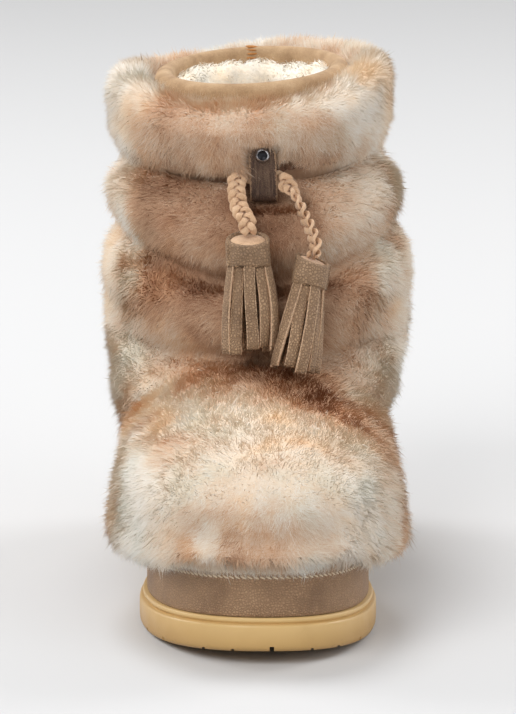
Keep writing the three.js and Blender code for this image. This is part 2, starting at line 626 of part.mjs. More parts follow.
// The rivet: a domed cap with a dimple, on a post through the tab
function makeRivet() {
  const { radius, height, bore, z } = RIVET;
  const post = [[0, -TAB.thickness], [bore, -TAB.thickness], [bore, GAP]];
  const dome = [[radius, GAP], [radius, GAP + height * 0.5], [radius * 0.82, GAP + height]];
  const floor = GAP + height * 0.55;
  const dimple = [[radius * 0.55, GAP + height], [radius * 0.4, floor], [0, floor]];
  const profile = [...post, ...dome, ...dimple].map(([r, out]) => new THREE.Vector2(r, out));
  const cap = new THREE.LatheGeometry(profile, 16).rotateX(Math.PI);
  return solidOf(cap.translate(TAB_MIDDLE, -TAB.frontFace, z));
}

// A loop of leather round the cord at one side of the shaft, its two ends on the skin of the groove
function makeSideLoop(inner) {
  const { width, thickness, zLow, zHigh, corner, skin, bend } = SIDE_LOOP;
  const cordFace = CORD_LOOP.half + BRAID.thickness / 2 + GAP;
  const middle = (zLow + zHigh) / 2;
  const tall = (zHigh - zLow) / 2;
  const section = (half, out) => [
    [skin, middle - half], [out - corner, middle - half], [out, middle - tall * 0.4],
    [out, middle + tall * 0.4], [out - corner, middle + half], [skin, middle + half],
  ];
  const outside = section(tall, cordFace + thickness);
  const inside = section(tall - thickness, cordFace).reverse();
  const shape = new THREE.Shape([...outside, ...inside].map(([x, z]) => new THREE.Vector2(x, z)));
  const geometry = new THREE.ExtrudeGeometry(shape, { depth: width, bevelEnabled: false, steps: 4 });
  geometry.rotateX(Math.PI / 2).translate(0, width / 2, 0);
  const shaftMiddle = (CORD_LOOP.front + CORD_LOOP.back) / 2;
  const points = geometry.attributes.position;
  for (let i = 0; i < points.count; i++) {
    const [x, y, z] = [points.getX(i), points.getY(i), points.getZ(i)];
    points.setXYZ(i, (x - bend * y * y) * inner, y * inner - shaftMiddle, z);
  }
  return solidOf(geometry);
}

// The shaft's lean: its top stands a little to the outer side, and its inner side is a little higher
function leaned(solid) {
  return solid.warp((v) => {
    const [x, z] = [v[0], v[2]];
    v[0] -= SHIFT * smooth((z - SHIFT_FROM) / (COLLAR_HEIGHT - SHIFT_FROM));
    v[2] += LEAN * x * smooth((z - LEAN_FROM) / (COLLAR_HEIGHT - LEAN_FROM));
  });
}

const boot = new THREE.Group();
boot.name = "fur boot";
const finish = (color, roughness, metalness = 0) =>
  new THREE.MeshStandardMaterial({ color, roughness, metalness });
const GUM = finish("#c9a367", 0.5);
const LEATHER = finish("#94785a", 0.65);
const TASSEL_LEATHER = finish("#a0845f", 0.7);
const BINDING_LEATHER = finish("#a98a62", 0.7);
const DARK_LEATHER = finish("#5f4536", 0.7);
const FUR = finish("#c7a68b", 0.95);
const FLEECE = finish("#ece6da", 0.95);
const METAL = finish("#8d8d90", 0.3, 1);

function place(name, solid, material) {
  const mesh = new THREE.Mesh(geometryOf(leaned(solid)), material);
  mesh.name = name;
  boot.add(mesh);
}

place("outsole", makeOutsole(), GUM);
place("rand", makeRand(), LEATHER);
place("insole", makeInsole(), FLEECE);
place("upper", makeUpper(), FUR);
place("cuff", makeCuff(), FUR);
place("collar_binding", makeBinding(), BINDING_LEATHER);
place("drawcord", makeCordLoop(), TASSEL_LEATHER);
place("tab", makeTab(), DARK_LEATHER);
place("rivet", makeRivet(), METAL);
place("side_loop_outer", makeSideLoop(-1), LEATHER);
place("side_loop_inner", makeSideLoop(1), LEATHER);
for (const end of CORD_ENDS) place("cord_end_" + end.side, makeCordEnd(end), TASSEL_LEATHER);
for (const tassel of TASSELS) {
  place("tassel_sleeve_" + tassel.side, makeSleeve(tassel), TASSEL_LEATHER);
  place("tassel_fringe_" + tassel.side, makeFringe(tassel), TASSEL_LEATHER);
}

// The origin is on the floor, under the middle of the boot's bounding box
const box = new THREE.Box3().setFromObject(boot);
boot.position.set(-(box.min.x + box.max.x) / 2, -(box.min.y + box.max.y) / 2, -box.min.z);

export default boot;
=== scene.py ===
"""A shearling boot for the right foot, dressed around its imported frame.

Sizes are in millimetres until a mesh is placed: x across the foot towards its inner
side, s forward from the sole's heel edge, z up from the floor.
"""
import logging
import math
from collections.abc import Callable, Iterable
from dataclasses import dataclass
from enum import Enum

import bmesh
import bpy
import numpy as np
from mathutils import Matrix, Vector


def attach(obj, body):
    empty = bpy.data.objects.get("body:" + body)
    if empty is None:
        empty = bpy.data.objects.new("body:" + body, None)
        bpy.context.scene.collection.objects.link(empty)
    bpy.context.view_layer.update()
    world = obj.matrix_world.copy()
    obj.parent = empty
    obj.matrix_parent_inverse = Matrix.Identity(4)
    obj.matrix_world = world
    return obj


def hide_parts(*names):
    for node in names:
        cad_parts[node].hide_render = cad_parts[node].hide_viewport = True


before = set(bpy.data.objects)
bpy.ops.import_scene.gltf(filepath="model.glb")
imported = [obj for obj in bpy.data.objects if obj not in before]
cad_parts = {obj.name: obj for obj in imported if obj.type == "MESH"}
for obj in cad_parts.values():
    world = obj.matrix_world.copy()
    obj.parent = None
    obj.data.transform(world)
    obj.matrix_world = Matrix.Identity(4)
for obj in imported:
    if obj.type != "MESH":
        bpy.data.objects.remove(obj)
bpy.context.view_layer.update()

log = logging.getLogger("fur_boot")

MM = 0.001
ORIGIN_X, ORIGIN_S = -0.345, 129.179  # the frame's origin in the boot's own sizes
COLLAR_HEIGHT = 212.0
LEAN, LEAN_FROM = 0.055, 150.0  # the shaft's inner side stands a little higher
SHIFT, SHIFT_FROM = 2.4, 120.0  # and its top stands a little to the outer side
GAP = 0.3
RAND_HEIGHT = 20.6
RAND_THICKNESS = 1.8
RAND_INSET = 3.2
WALL_INSET = RAND_INSET + RAND_THICKNESS + GAP
WALL_THICKNESS = 3.3
FRINGE_REACH = 12.0
TAB_MIDDLE = 4.2
TOE_HEM_LIFT = 8.0  # over the toe the fur ends this much higher, and the stitches show
SIDE_HEM_LIFT = 3.5
LOOP_S = 60.1  # where the side loops stand
ROUND = 176  # points round a smooth section


class Side(Enum):
    """The two sides of the boot as the front view shows them."""

    LEFT = "left"
    RIGHT = "right"


class Flow(Enum):
    """The way hairs are combed along a pelt: with its rows, or against them."""

    WITH_ROWS = 1.0
    AGAINST_ROWS = -1.0


def smooth(v: np.ndarray | float) -> np.ndarray | float:
    """A soft step from 0 to 1 over 0 to 1."""
    t = np.clip(v, 0.0, 1.0)
    return t * t * (3 - 2 * t)


def bump(v: np.ndarray | float) -> np.ndarray | float:
    """A soft hump, 1 at 0 and 0 from -1 and 1 outwards."""
    return np.where(np.abs(v) < 1, np.cos(np.clip(v, -1, 1) * math.pi / 2) ** 2, 0.0)


def mix(a: np.ndarray | float, b: np.ndarray | float, t: np.ndarray | float) -> np.ndarray | float:
    """A value between a and b."""
    return a + (b - a) * t


def unit(v: np.ndarray) -> np.ndarray:
    """Vectors brought to a length of 1."""
    return v / np.maximum(np.linalg.norm(v, axis=-1, keepdims=True), 1e-9)


def tint(red: float, green: float, blue: float) -> tuple[float, float, float, float]:
    """A colour given as on a screen, 0 to 255, as the shaders take it.

    Args:
        red: its red, 0 to 255.
        green: its green.
        blue: its blue.

    Returns:
        The colour in linear light, opaque.
    """
    parts = [v / 255 for v in (red, green, blue)]
    linear = [v / 12.92 if v <= 0.04045 else ((v + 0.055) / 1.055) ** 2.4 for v in parts]
    return (linear[0], linear[1], linear[2], 1.0)


def dimmed(colour: tuple, share: float) -> tuple[float, float, float, float]:
    """A colour made darker, to a share of its light."""
    return (colour[0] * share, colour[1] * share, colour[2] * share, 1.0)


def placed(points: np.ndarray) -> np.ndarray:
    """Puts points of the boot's own sizes where the frame has them, with the shaft's lean.

    Args:
        points: rows of x, s and z in millimetres.

    Returns:
        The same rows as x, y and z in metres.
    """
    x, s, z = points[..., 0], points[..., 1], points[..., 2]
    rise = LEAN * x * smooth((z - LEAN_FROM) / (COLLAR_HEIGHT - LEAN_FROM))
    aside = SHIFT * smooth((z - SHIFT_FROM) / (COLLAR_HEIGHT - SHIFT_FROM))
    return np.stack([x - aside + ORIGIN_X, ORIGIN_S - s, z + rise], axis=-1) * MM


def own_sizes(spots: np.ndarray) -> np.ndarray:
    """Points of the frame, in metres, in the boot's own sizes: the way back from placed.

    Args:
        spots: rows of x, y and z in metres.

    Returns:
        The same rows as x, s and z in millimetres.
    """
    x, s, z = spots[..., 0] / MM - ORIGIN_X, ORIGIN_S - spots[..., 1] / MM, spots[..., 2] / MM
    aside = SHIFT * smooth((z - SHIFT_FROM) / (COLLAR_HEIGHT - SHIFT_FROM))
    rise = LEAN * x * smooth((z - LEAN_FROM) / (COLLAR_HEIGHT - LEAN_FROM))
    return np.stack([x + aside, s, z - rise], axis=-1)


def curve_through(points: np.ndarray, at: np.ndarray) -> np.ndarray:
    """Points on a smooth curve through the given ones, for many curves at once.

    Args:
        points: the given points, first axis along the curves, last axis x, s, z.
        at: places along the curves, 0 to 1.

    Returns:
        The curves' points, first axis along.
    """
    count = len(points) - 1
    before = 2 * points[0] - points[1]
    after = 2 * points[-1] - points[-2]
    row = np.concatenate([before[None], points, after[None]])
    out = []
    for share in at:
        k = min(int(share * count), count - 1)
        w = share * count - k
        p0, p1, p2, p3 = row[k], row[k + 1], row[k + 2], row[k + 3]
        d0, d1, d2 = (
            np.maximum(np.sum((b - a) ** 2, axis=-1, keepdims=True) ** 0.25, 1e-4)
            for a, b in ((p0, p1), (p1, p2), (p2, p3))
        )
        t1 = ((p1 - p0) / d0 - (p2 - p0) / (d0 + d1) + (p2 - p1) / d1) * d1
        t2 = ((p2 - p1) / d1 - (p3 - p1) / (d1 + d2) + (p3 - p2) / d2) * d1
        out.append(p1 + t1 * w + (3 * (p2 - p1) - 2 * t1 - t2) * w**2 + (2 * (p1 - p2) + t1 + t2) * w**3)
    return np.array(out)


@dataclass(frozen=True)
class Section:
    """One level of the upper: where its front and back are, its half width and its heights."""

    front: float
    back: float
    half: float
    z: tuple[float, float, float]  # at the front, the sides and the back
    oval: float = 1.0  # 0 follows the foot's plan, 1 the leg's
    nose: float = 1.0  # how wide the front part is


@dataclass
class Last:
    """The foot that the boot is built round: its sole's edge and its levels."""

    length: float = 262.0
    ball: float = 98.5
    thickness: float = 14.0
    heel_lift: float = 8.0
    toe_spring: float = 6.5
    heel_bevel: float = 1.5
    arch_rise: float = 2.0
    nose_from: float = 95.0
    nose_length: float = 70.0
    toe_round: tuple[float, float] = (0.7, 2.25)
    heel_round: tuple[float, float] = (0.16, 2.15)
    plan: tuple[tuple[float, float, float], ...] = (
        (0.0, 0.75, 0.0), (0.16, 0.77, 0.0), (0.4, 0.745, -2.0), (0.55, 0.87, -1.0),
        (0.68, 1.0, 0.0), (0.82, 0.99, 1.2), (1.0, 0.95, 3.5),
    )  # share of the length, half width as a share of the ball's, bend of the middle line

    def __post_init__(self) -> None:
        """Works out the sole's edge and its outward normals."""
        self.turn = np.arange(ROUND) * 2 * math.pi / ROUND
        self.edge = self.edge_at(self.turn)
        along = self.edge_at(self.turn + 0.02) - self.edge_at(self.turn - 0.02)
        self.normal = unit(np.stack([-along[:, 1], along[:, 0]], axis=-1))
        if np.sum(self.normal * (self.edge - self.edge.mean(axis=0))) < 0:
            self.normal = -self.normal

    def from_plan(self, column: int, at: np.ndarray) -> np.ndarray:
        """A column of the plan's table on a smooth curve.

        Args:
            column: 1 for the half width, 2 for the bend.
            at: shares of the sole's length.

        Returns:
            The column's values there.
        """
        table = np.array(self.plan)
        spot, value = table[:, 0], table[:, column]
        slope = np.array([
            (value[min(n + 1, len(spot) - 1)] - value[max(n - 1, 0)])
            / (spot[min(n + 1, len(spot) - 1)] - spot[max(n - 1, 0)])
            for n in range(len(spot))
        ])
        k = np.clip(np.searchsorted(spot, at, side="left") - 1, 0, len(spot) - 2)
        step = spot[k + 1] - spot[k]
        t = np.clip((at - spot[k]) / step, 0, 1)
        return (
            (2 * t**3 - 3 * t**2 + 1) * value[k] + (t**3 - 2 * t**2 + t) * step * slope[k]
            + (3 * t**2 - 2 * t**3) * value[k + 1] + (t**3 - t**2) * step * slope[k + 1]
        )

    def edge_at(self, turn: np.ndarray) -> np.ndarray:
        """Points x, s of the sole's edge at angles round the foot, 0 at the toe.

        Args:
            turn: the angles.

        Returns:
            The points.
        """
        share = (1 + np.cos(turn)) / 2
        start, power = self.toe_round
        toe = 1 - np.clip((share - start) / (1 - start), 0, 1) ** power
        start, heel_power = self.heel_round
        heel = 1 - np.clip((start - share) / start, 0, 1) ** heel_power
        half = self.ball / 2 * self.from_plan(1, share) * toe ** (1 / power) * heel ** (1 / heel_power)
        return np.stack(
            [self.from_plan(2, share) + np.sign(np.sin(turn)) * half, self.length * share], axis=-1
        )

    def share(self, s: np.ndarray) -> np.ndarray:
        """A distance from the heel as a share of the sole's length."""
        return np.clip(s / self.length, 0, 1)

    def top(self, share: np.ndarray) -> np.ndarray:
        """Height of the sole's top, which carries the upper."""
        spring = self.toe_spring * np.clip((share - 0.72) / 0.28, 0, 1) ** 1.7
        return self.thickness + spring + self.heel_lift * smooth((0.62 - share) / 0.42)

    def wall(self, share: np.ndarray) -> np.ndarray:
        """Height of the groove under the sole's ledge."""
        return self.top(share) - 2.8

    def underside(self, share: np.ndarray) -> np.ndarray:
        """Height of the sole's underside: flat at heel and forefoot.

        Args:
            share: shares of the sole's length.

        Returns:
            The heights.
        """
        spring = self.toe_spring * np.clip((share - 0.76) / 0.24, 0, 1) ** 1.8
        bevel = self.heel_bevel * np.clip((0.045 - share) / 0.045, 0, 1) ** 1.5
        return spring + self.arch_rise * bump((share - 0.43) / 0.13) + bevel

    def ring(self, out: float, up: float, base: Callable | None = None) -> np.ndarray:
        """A level that follows the sole's edge.

        Args:
            out: how far outside the edge.
            up: how far above the base height.
            base: the base height as a function of the share of the length; the sole's top if none.

        Returns:
            Its points x, s, z.
        """
        spot = self.edge + self.normal * out
        return np.column_stack([spot, (base or self.top)(self.share(spot[:, 1])) + up])

    def level(self, row: Section) -> np.ndarray:
        """A level of the upper, from its sizes, as points x, s, z.

        Args:
            row: the level's sizes.

        Returns:
            The points.
        """
        c, s = np.cos(self.turn), np.sin(self.turn)
        foot_x = self.edge[:, 0] * row.half * 2 / self.ball
        foot_s = mix(row.back, row.front, self.share(self.edge[:, 1]))
        leg_s = (row.front + row.back) / 2 + (row.front - row.back) / 2 * c
        z = row.z[1] + (np.where(c > 0, row.z[0], row.z[2]) - row.z[1]) * c * c
        forward = mix(foot_s, leg_s, row.oval)
        narrow = mix(1, row.nose, smooth((forward - self.nose_from) / self.nose_length))
        return np.column_stack([mix(foot_x, row.half * s, row.oval) * narrow, forward, z])

    def oval(self, front: float, back: float, half: float, z: float) -> np.ndarray:
        """A level oval round the shaft."""
        return self.level(Section(front, back, half, (z, z, z)))


FUR_SECTIONS = (
    Section(270, -11, 61.5, (53, 50, 58), 0.06),
    Section(266, -13, 62, (68, 62, 68), 0.14, 0.97),
    Section(250, -13, 62.5, (81, 73, 77), 0.25, 0.93),
    Section(222, -13, 63.5, (90, 82, 86), 0.4, 0.84),
    Section(190, -13, 63.5, (96.5, 90, 94), 0.58, 0.72),
    Section(163, -13, 66, (101, 98, 102), 0.78, 0.62),
    Section(145, -12, 66.5, (104, 106.4, 109.9), 0.92, 0.9),
    Section(150, -14, 65.5, (111.1, 117.1, 119.4)),
    Section(150, -15, 66.5, (120.6, 127.4, 128.5)),
    Section(144, -12, 64.5, (128.5, 138.6, 136.3)),
    Section(132, -5, 59, (134, 147.8, 144.3)),
    Section(140, -13, 62.5, (142.1, 154.7, 152.4)),
    Section(141, -15, 63.5, (152.4, 163.9, 162.8)),
    Section(133, -10, 60, (162.8, 171.6, 170.6)),
)
NECK_SECTIONS = (
    Section(115.4, 1.9, 49.6, (168.5, 175.3, 175.3)),
    Section(115, 1.9, 49.6, (186, 186, 186)),
    Section(114, 3, 48, (193, 193, 193)),
    Section(111.5, 6, 42, (203.5, 203.5, 203.5)),
    Section(110.4, 7.6, 40.4, (205.5, 205.5, 205.5)),
    Section(110.4, 7.6, 40.4, (212, 212, 212)),
)
CAVITY_SECTIONS = (
    Section(105.9, 12.1, 35.9, (212, 212, 212)),
    Section(105.9, 12.1, 35.9, (202, 202, 202)),
    Section(108, 9, 39, (184, 184, 184)),
    Section(120, 5, 45.5, (159.3, 162.8, 162.8)),
    Section(118, 6, 44.5, (138.6, 146.7, 144.3)),
    Section(131, 4, 48, (115.9, 124.1, 125.2)),
    Section(140, 5, 46, (92, 96, 98), 0.85),
    Section(178, 6, 44.5, (84, 80, 80), 0.6),
    Section(225, 6, 44, (74, 66, 64), 0.35),
    Section(250, 7, 44, (56, 50, 52), 0.1),
)
CUFF_OUTSIDE = (
    Section(114, 3.6, 43.6, (208.5, 209, 209)),
    Section(117, 0.5, 47, (213, 214, 214)),
    Section(124.5, -7, 56, (213, 216, 214.5)),
    Section(132, -14, 60.5, (206.5, 211.5, 208.5)),
    Section(134.5, -15.5, 61, (198, 199.5, 200)),
    Section(133.5, -14.5, 60.5, (187.5, 189, 190.5)),
    Section(129.5, -9.5, 58, (180.5, 182, 183)),
)
CUFF_INSIDE = (
    Section(122.6, -3.2, 54, (186, 187.5, 187.5)),
    Section(117.4, 0.4, 50.8, (193, 193.5, 193.5)),
    Section(114.2, 3.4, 44.6, (204.5, 204.5, 204.5)),
)


def skin(block: np.ndarray, close_across: bool = True, close_along: bool = False) -> bmesh.types.BMesh:
    """A skin through a block of points, made from a flat grid.

    Args:
        block: points x, s, z, first axis along the skin and second axis across it.
        close_across: whether each row closes on itself.
        close_along: whether the last row joins the first.

    Returns:
        The skin, placed, with its grid as the UV map.
    """
    along, across = block.shape[:2]
    columns = across if close_across else across - 1
    rows = along if close_along else along - 1
    bm = bmesh.new()
    bm.loops.layers.uv.new("UVMap")
    bmesh.ops.create_grid(bm, x_segments=columns, y_segments=rows, size=0.5, calc_uvs=True)
    spots = placed(block)
    for vert in bm.verts:
        i = round((vert.co.x + 0.5) * columns) % across
        j = round((vert.co.y + 0.5) * rows) % along
        vert.co = spots[j, i]
    bmesh.ops.remove_doubles(bm, verts=bm.verts, dist=2e-6)
    bmesh.ops.recalc_face_normals(bm, faces=bm.faces)
    return bm


def capped(bm: bmesh.types.BMesh) -> bmesh.types.BMesh:
    """Closes the open ends of a tube.

    Args:
        bm: the tube.

    Returns:
        The same mesh.
    """
    bmesh.ops.holes_fill(bm, edges=bm.edges, sides=0)
    bmesh.ops.recalc_face_normals(bm, faces=bm.faces)
    return bm


def joined(parts: Iterable[bmesh.types.BMesh]) -> bmesh.types.BMesh:
    """Several meshes as one.

    Args:
        parts: the meshes, which are freed.

    Returns:
        The whole.
    """
    whole = bmesh.new()
    for part in parts:
        mesh = bpy.data.meshes.new("part")
        part.to_mesh(mesh)
        part.free()
        whole.from_mesh(mesh)
        bpy.data.meshes.remove(mesh)
    return whole


def finished(
    name: str,
    bm: bmesh.types.BMesh,
    materials: Iterable[bpy.types.Material],
    crease_angle: float = 40.0,
) -> bpy.types.Object:
    """Makes a mesh a piece of the scene.

    Args:
        name: the piece's name.
        bm: its mesh, which is freed.
        materials: its materials in the order of its faces' numbers.
        crease_angle: edges sharper than this, in degrees, stay sharp.

    Returns:
        The piece, riding on the boot's body.
    """
    mesh = bpy.data.meshes.new(name)
    bm.to_mesh(mesh)
    bm.free()
    for material in materials:
        mesh.materials.append(material)
    mesh.shade_smooth()
    mesh.set_sharp_from_angle(angle=math.radians(crease_angle))
    piece = bpy.data.objects.new(name, mesh)
    bpy.context.scene.collection.objects.link(piece)
    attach(piece, "root")
    return piece


def thickened(piece: bpy.types.Object, thickness: float) -> None:
    """Gives a sheet its thickness, half of it to each side.

    Args:
        piece: the sheet.
        thickness: how thick, in millimetres.
    """
    body = piece.modifiers.new("thickness", "SOLIDIFY")
    body.thickness = thickness * MM
    body.offset = 0.0


def steps_along(path: np.ndarray) -> np.ndarray:
    """The way run along a path at each of its points."""
    return np.concatenate([[0], np.cumsum(np.linalg.norm(np.diff(path, axis=0), axis=1))])


def spots_along(path: np.ndarray, run: np.ndarray, at: np.ndarray) -> np.ndarray:
    """Points on a path where its way run has the given values."""
    return np.stack([np.interp(at, run, path[:, k]) for k in range(3)], axis=-1)


Size = float | np.ndarray  # one size, or one at each point


def sweep(path: np.ndarray, face: np.ndarray, wide: Size, thick: Size, sides: int = 8) -> np.ndarray:
    """A strand's skin as a block of points.

    Args:
        path: its middle line.
        face: the way its broad side faces, at each point or once.
        wide: its width, once or at each point.
        thick: its thickness, once or at each point.
        sides: points round it.

    Returns:
        Rings of points along the path.
    """
    along = unit(np.gradient(path, axis=0))
    across = unit(np.cross(along, np.broadcast_to(face, path.shape)))
    out = unit(np.cross(across, along))
    turn = 2 * math.pi * (np.arange(sides) + 0.5) / sides
    wide, thick = (np.broadcast_to(size, len(path))[:, None, None] / 2 for size in (wide, thick))
    return (
        path[:, None] + across[:, None] * wide * np.cos(turn)[:, None]
        + out[:, None] * thick * np.sin(turn)[:, None]
    )


class Drift:
    """A smooth random field, for colour and for the way hairs are combed."""

    def __init__(self, seed: int, size: float, waves: int = 9) -> None:
        """Picks the waves.

        Args:
            seed: the random seed.
            size: how far apart its light and dark places are, in millimetres.
            waves: how many waves make it.
        """
        rng = np.random.default_rng(seed)
        way = unit(rng.normal(size=(waves, 3)))
        self.waves = way * (rng.uniform(0.6, 1.7, (waves, 1)) * math.pi / size)
        self.phase = rng.uniform(0, 2 * math.pi, waves)

    def at(self, points: np.ndarray) -> np.ndarray:
        """The field's values, about -1 to 1, at points in millimetres."""
        waves = np.sin(points @ self.waves.T + self.phase)
        return np.clip(waves.sum(axis=-1) / math.sqrt(len(self.phase) / 2) / 2, -1, 1)


@dataclass(frozen=True)
class Patch:
    """A soft spot on the pelt, where a value is drawn to its own."""

    x: float
    s: float
    z: float
    reach: float
    value: float
    tall: float = 1.0  # how much taller than wide

    def pull(self, points: np.ndarray) -> np.ndarray:
        """How much of its value the points take, 0 to 1.

        Args:
            points: places x, s, z in the boot's own sizes.

        Returns:
            The shares.
        """
        away = points - np.array([self.x, self.s, self.z])
        distance = np.sqrt(away[..., 0] ** 2 + away[..., 1] ** 2 * 0.35 + (away[..., 2] / self.tall) ** 2)
        return smooth(1.25 - distance / self.reach)


def patched(points: np.ndarray, start: np.ndarray | float, patches: Iterable[Patch]) -> np.ndarray:
    """A value over the pelt after each patch has drawn it to its own.

    Args:
        points: places x, s, z in the boot's own sizes.
        start: the value before.
        patches: the patches, later ones over earlier ones.

    Returns:
        The value at each place.
    """
    value = np.broadcast_to(np.asarray(start, float), points.shape[:-1]).copy()
    for patch in patches:
        value = mix(value, patch.value, patch.pull(points))
    return value


# How brown the fur is: 0 cream, 0.5 peach, 0.8 brown, 1 dark brown. Some patches, marked below, are painted
# shade and painted light.
BASE_TONE = 0.34
FUR_TONES = (
    # the two rolls are browner than the cuff and the foot
    Patch(-5, 136, 166, 52, 0.6), Patch(-5, 140, 128, 54, 0.6), Patch(0, 130, 184, 26, 0.5),
    # the groove beside the tab, browner as painted shade
    Patch(17, 122, 180, 7, 0.85), Patch(-10, 122, 180, 5, 0.8),
    # cuff
    Patch(-57, 83, 210, 28, 0.06), Patch(46, 101, 211, 28, 0.06), Patch(-37, 121, 201, 17, 0.42),
    Patch(16, 130, 203, 16, 0.4), Patch(-29, 126, 187, 14, 0.66), Patch(31, 118, 186, 13, 0.58),
    Patch(0, 130, 184, 14, 0.6), Patch(-9, 130, 207, 12, 0.3), Patch(-34, 124, 196, 16, 0.5),
    Patch(36, 122, 196, 12, 0.42),
    # high roll
    Patch(-39, 117, 166, 22, 0.7), Patch(1, 133, 163, 16, 0.76), Patch(-63, 84, 164, 13, 0.2),
    Patch(23, 120, 167, 15, 0.62), Patch(37, 121, 162, 12, 0.4), Patch(56, 91, 168, 13, 0.16),
    # low roll
    Patch(-41, 134, 128, 22, 0.66), Patch(-24, 144, 124, 14, 0.76), Patch(-65, 87, 134, 13, 0.18),
    Patch(40, 128, 133, 20, 0.46), Patch(59, 105, 129, 13, 0.18), Patch(37, 134, 126, 9, 0.6),
    Patch(18, 148, 118, 16, 0.84), Patch(-62, 90, 112, 14, 0.25),
    # quarters and sides
    Patch(-66, 58, 92, 32, 0.2), Patch(66, 58, 92, 32, 0.2), Patch(-66, 62, 134, 18, 0.24),
    Patch(66, 62, 134, 18, 0.24), Patch(50, 66, 212, 26, 0.1), Patch(-56, 56, 206, 20, 0.14),
    Patch(58, 60, 166, 18, 0.22), Patch(-58, 60, 166, 18, 0.22), Patch(-62, 96, 92, 26, 0.26),
    # the two small patches at s 130, z 80 darken the crease behind the dome as painted shade
    Patch(60, 104, 92, 28, 0.28), Patch(-56, 130, 80, 8, 0.5), Patch(56, 130, 80, 8, 0.46),
    # dome
    Patch(-24, 151, 99, 14, 0.46), Patch(14, 180, 98, 18, 0.66), Patch(39, 153, 95, 12, 0.42),
    Patch(-46, 158, 90, 20, 0.12), Patch(-60, 112, 98, 16, 0.14), Patch(60, 114, 98, 16, 0.16),
    # the two patches at s 108, z 84 are lighter as painted light, where the quarters face away from the lamps
    Patch(-60, 108, 84, 16, 0.06), Patch(60, 108, 84, 16, 0.08), Patch(52, 158, 86, 14, 0.3),
    Patch(-32, 189, 91, 14, 0.12), Patch(-18, 185, 96, 8, 0.42),
    # foot
    Patch(-3, 233, 88, 34, 0.15), Patch(1, 242, 85, 8, 0.3), Patch(-48, 230, 71, 24, 0.0),
    Patch(-37, 238, 77, 8, 0.24), Patch(42, 241, 73, 24, 0.06), Patch(38, 226, 82, 9, 0.26),
    Patch(5, 269, 63, 13, 0.4), Patch(25, 266, 59, 10, 0.3), Patch(-35, 258, 57, 9, 0.24),
    Patch(-54, 229, 49, 16, 0.0), Patch(52, 242, 53, 16, 0.04), Patch(-17, 268, 55, 10, 0.08),
)
WANDER = 7.0  # how far the patches' outlines stray


def fur_tone(points: np.ndarray, start: np.ndarray | float, tones: Iterable[Patch]) -> np.ndarray:
    """How brown the fur is, with ragged outlines between the patches.

    Args:
        points: places x, s, z in the boot's own sizes.
        start: the tone away from all patches.
        tones: patches of colour.

    Returns:
        The tones, 0 to 1.
    """
    stray = np.stack(
        [Drift(seed, 24).at(points) + 0.5 * Drift(seed + 3, 9).at(points) for seed in (61, 62, 63)], axis=-1
    )
    return patched(points + WANDER * stray, start, tones)


def painted(bm: bmesh.types.BMesh, tones: Iterable[Patch]) -> bmesh.types.BMesh:
    """Stores how brown the fur over a skin is, in the attribute that its hairs use too.

    Args:
        bm: the skin.
        tones: patches of colour.

    Returns:
        The same mesh.
    """
    layer = bm.verts.layers.float_color.new("hair")
    tone = fur_tone(own_sizes(np.array([vert.co for vert in bm.verts])), BASE_TONE, tones)
    for vert, value in zip(bm.verts, tone):
        vert[layer] = (0.5, value, 0.5, 1.0)
    return bm


@dataclass
class Pelt:
    """A skin that hairs grow from."""

    block: np.ndarray  # points x, s, z, rows along the skin
    flow: Flow = Flow.AGAINST_ROWS
    outward: float = 1.0

    def __post_init__(self) -> None:
        """Works out the skin's normals, directions and areas."""
        self.spots = placed(self.block) / MM
        around = np.roll(self.spots, -1, axis=1) - np.roll(self.spots, 1, axis=1)
        along = np.gradient(self.spots, axis=0)
        self.step_u = np.linalg.norm(around, axis=-1) / 2 * self.block.shape[1]
        self.step_v = np.linalg.norm(along, axis=-1) * (self.block.shape[0] - 1)
        normal = unit(np.cross(around, along))
        middle = self.spots.mean(axis=(0, 1))
        side = np.sum(normal[:, :, :2] * (self.spots - middle)[:, :, :2])
        self.normal = normal * math.copysign(1, side) * self.outward
        self.comb = unit(along) * self.flow.value
        self.around = unit(np.cross(self.normal, self.comb))

    def look_up(self, field_: np.ndarray, u: np.ndarray, v: np.ndarray) -> np.ndarray:
        """A value of the skin between its points.

        Args:
            field_: the value at the skin's points.
            u: places round it, 0 to 1.
            v: places along it, 0 to 1.

        Returns:
            The value at each place.
        """
        rows, columns = field_.shape[:2]
        x = (u % 1.0) * columns
        y = np.clip(v, 0, 1) * (rows - 1)
        i, j = np.floor(x).astype(int) % columns, np.minimum(np.floor(y).astype(int), rows - 2)
        a, b = x - np.floor(x), y - j
        if field_.ndim == 3:
            a, b = a[:, None], b[:, None]
        k = (i + 1) % columns
        low = mix(field_[j, i], field_[j, k], a)
        return mix(low, mix(field_[j + 1, i], field_[j + 1, k], a), b)

    def scatter(self, rng: np.random.Generator, count: int, rows: tuple[float, float]) -> np.ndarray:
        """Places spread evenly over a part of the skin.

        Args:
            rng: the source of random numbers.
            count: how many.
            rows: the part, from and to, as shares along the skin.

        Returns:
            Columns u and v.
        """
        tall, wide = self.block.shape[:2]
        area = (self.step_u * self.step_v)[:-1]
        middle = (np.arange(tall - 1) + 0.5) / (tall - 1)
        area = area * ((middle >= rows[0]) & (middle <= rows[1]))[:, None]
        total = np.cumsum(area.ravel())
        picks = (np.arange(count) + rng.uniform(0, 1, count)) / count * total[-1]
        cell = np.searchsorted(total, picks)
        j, i = np.divmod(cell, wide)
        u = (i + rng.uniform(0, 1, count)) / wide
        v = (j + rng.uniform(0, 1, count)) / (tall - 1)
        return np.column_stack([u, v])


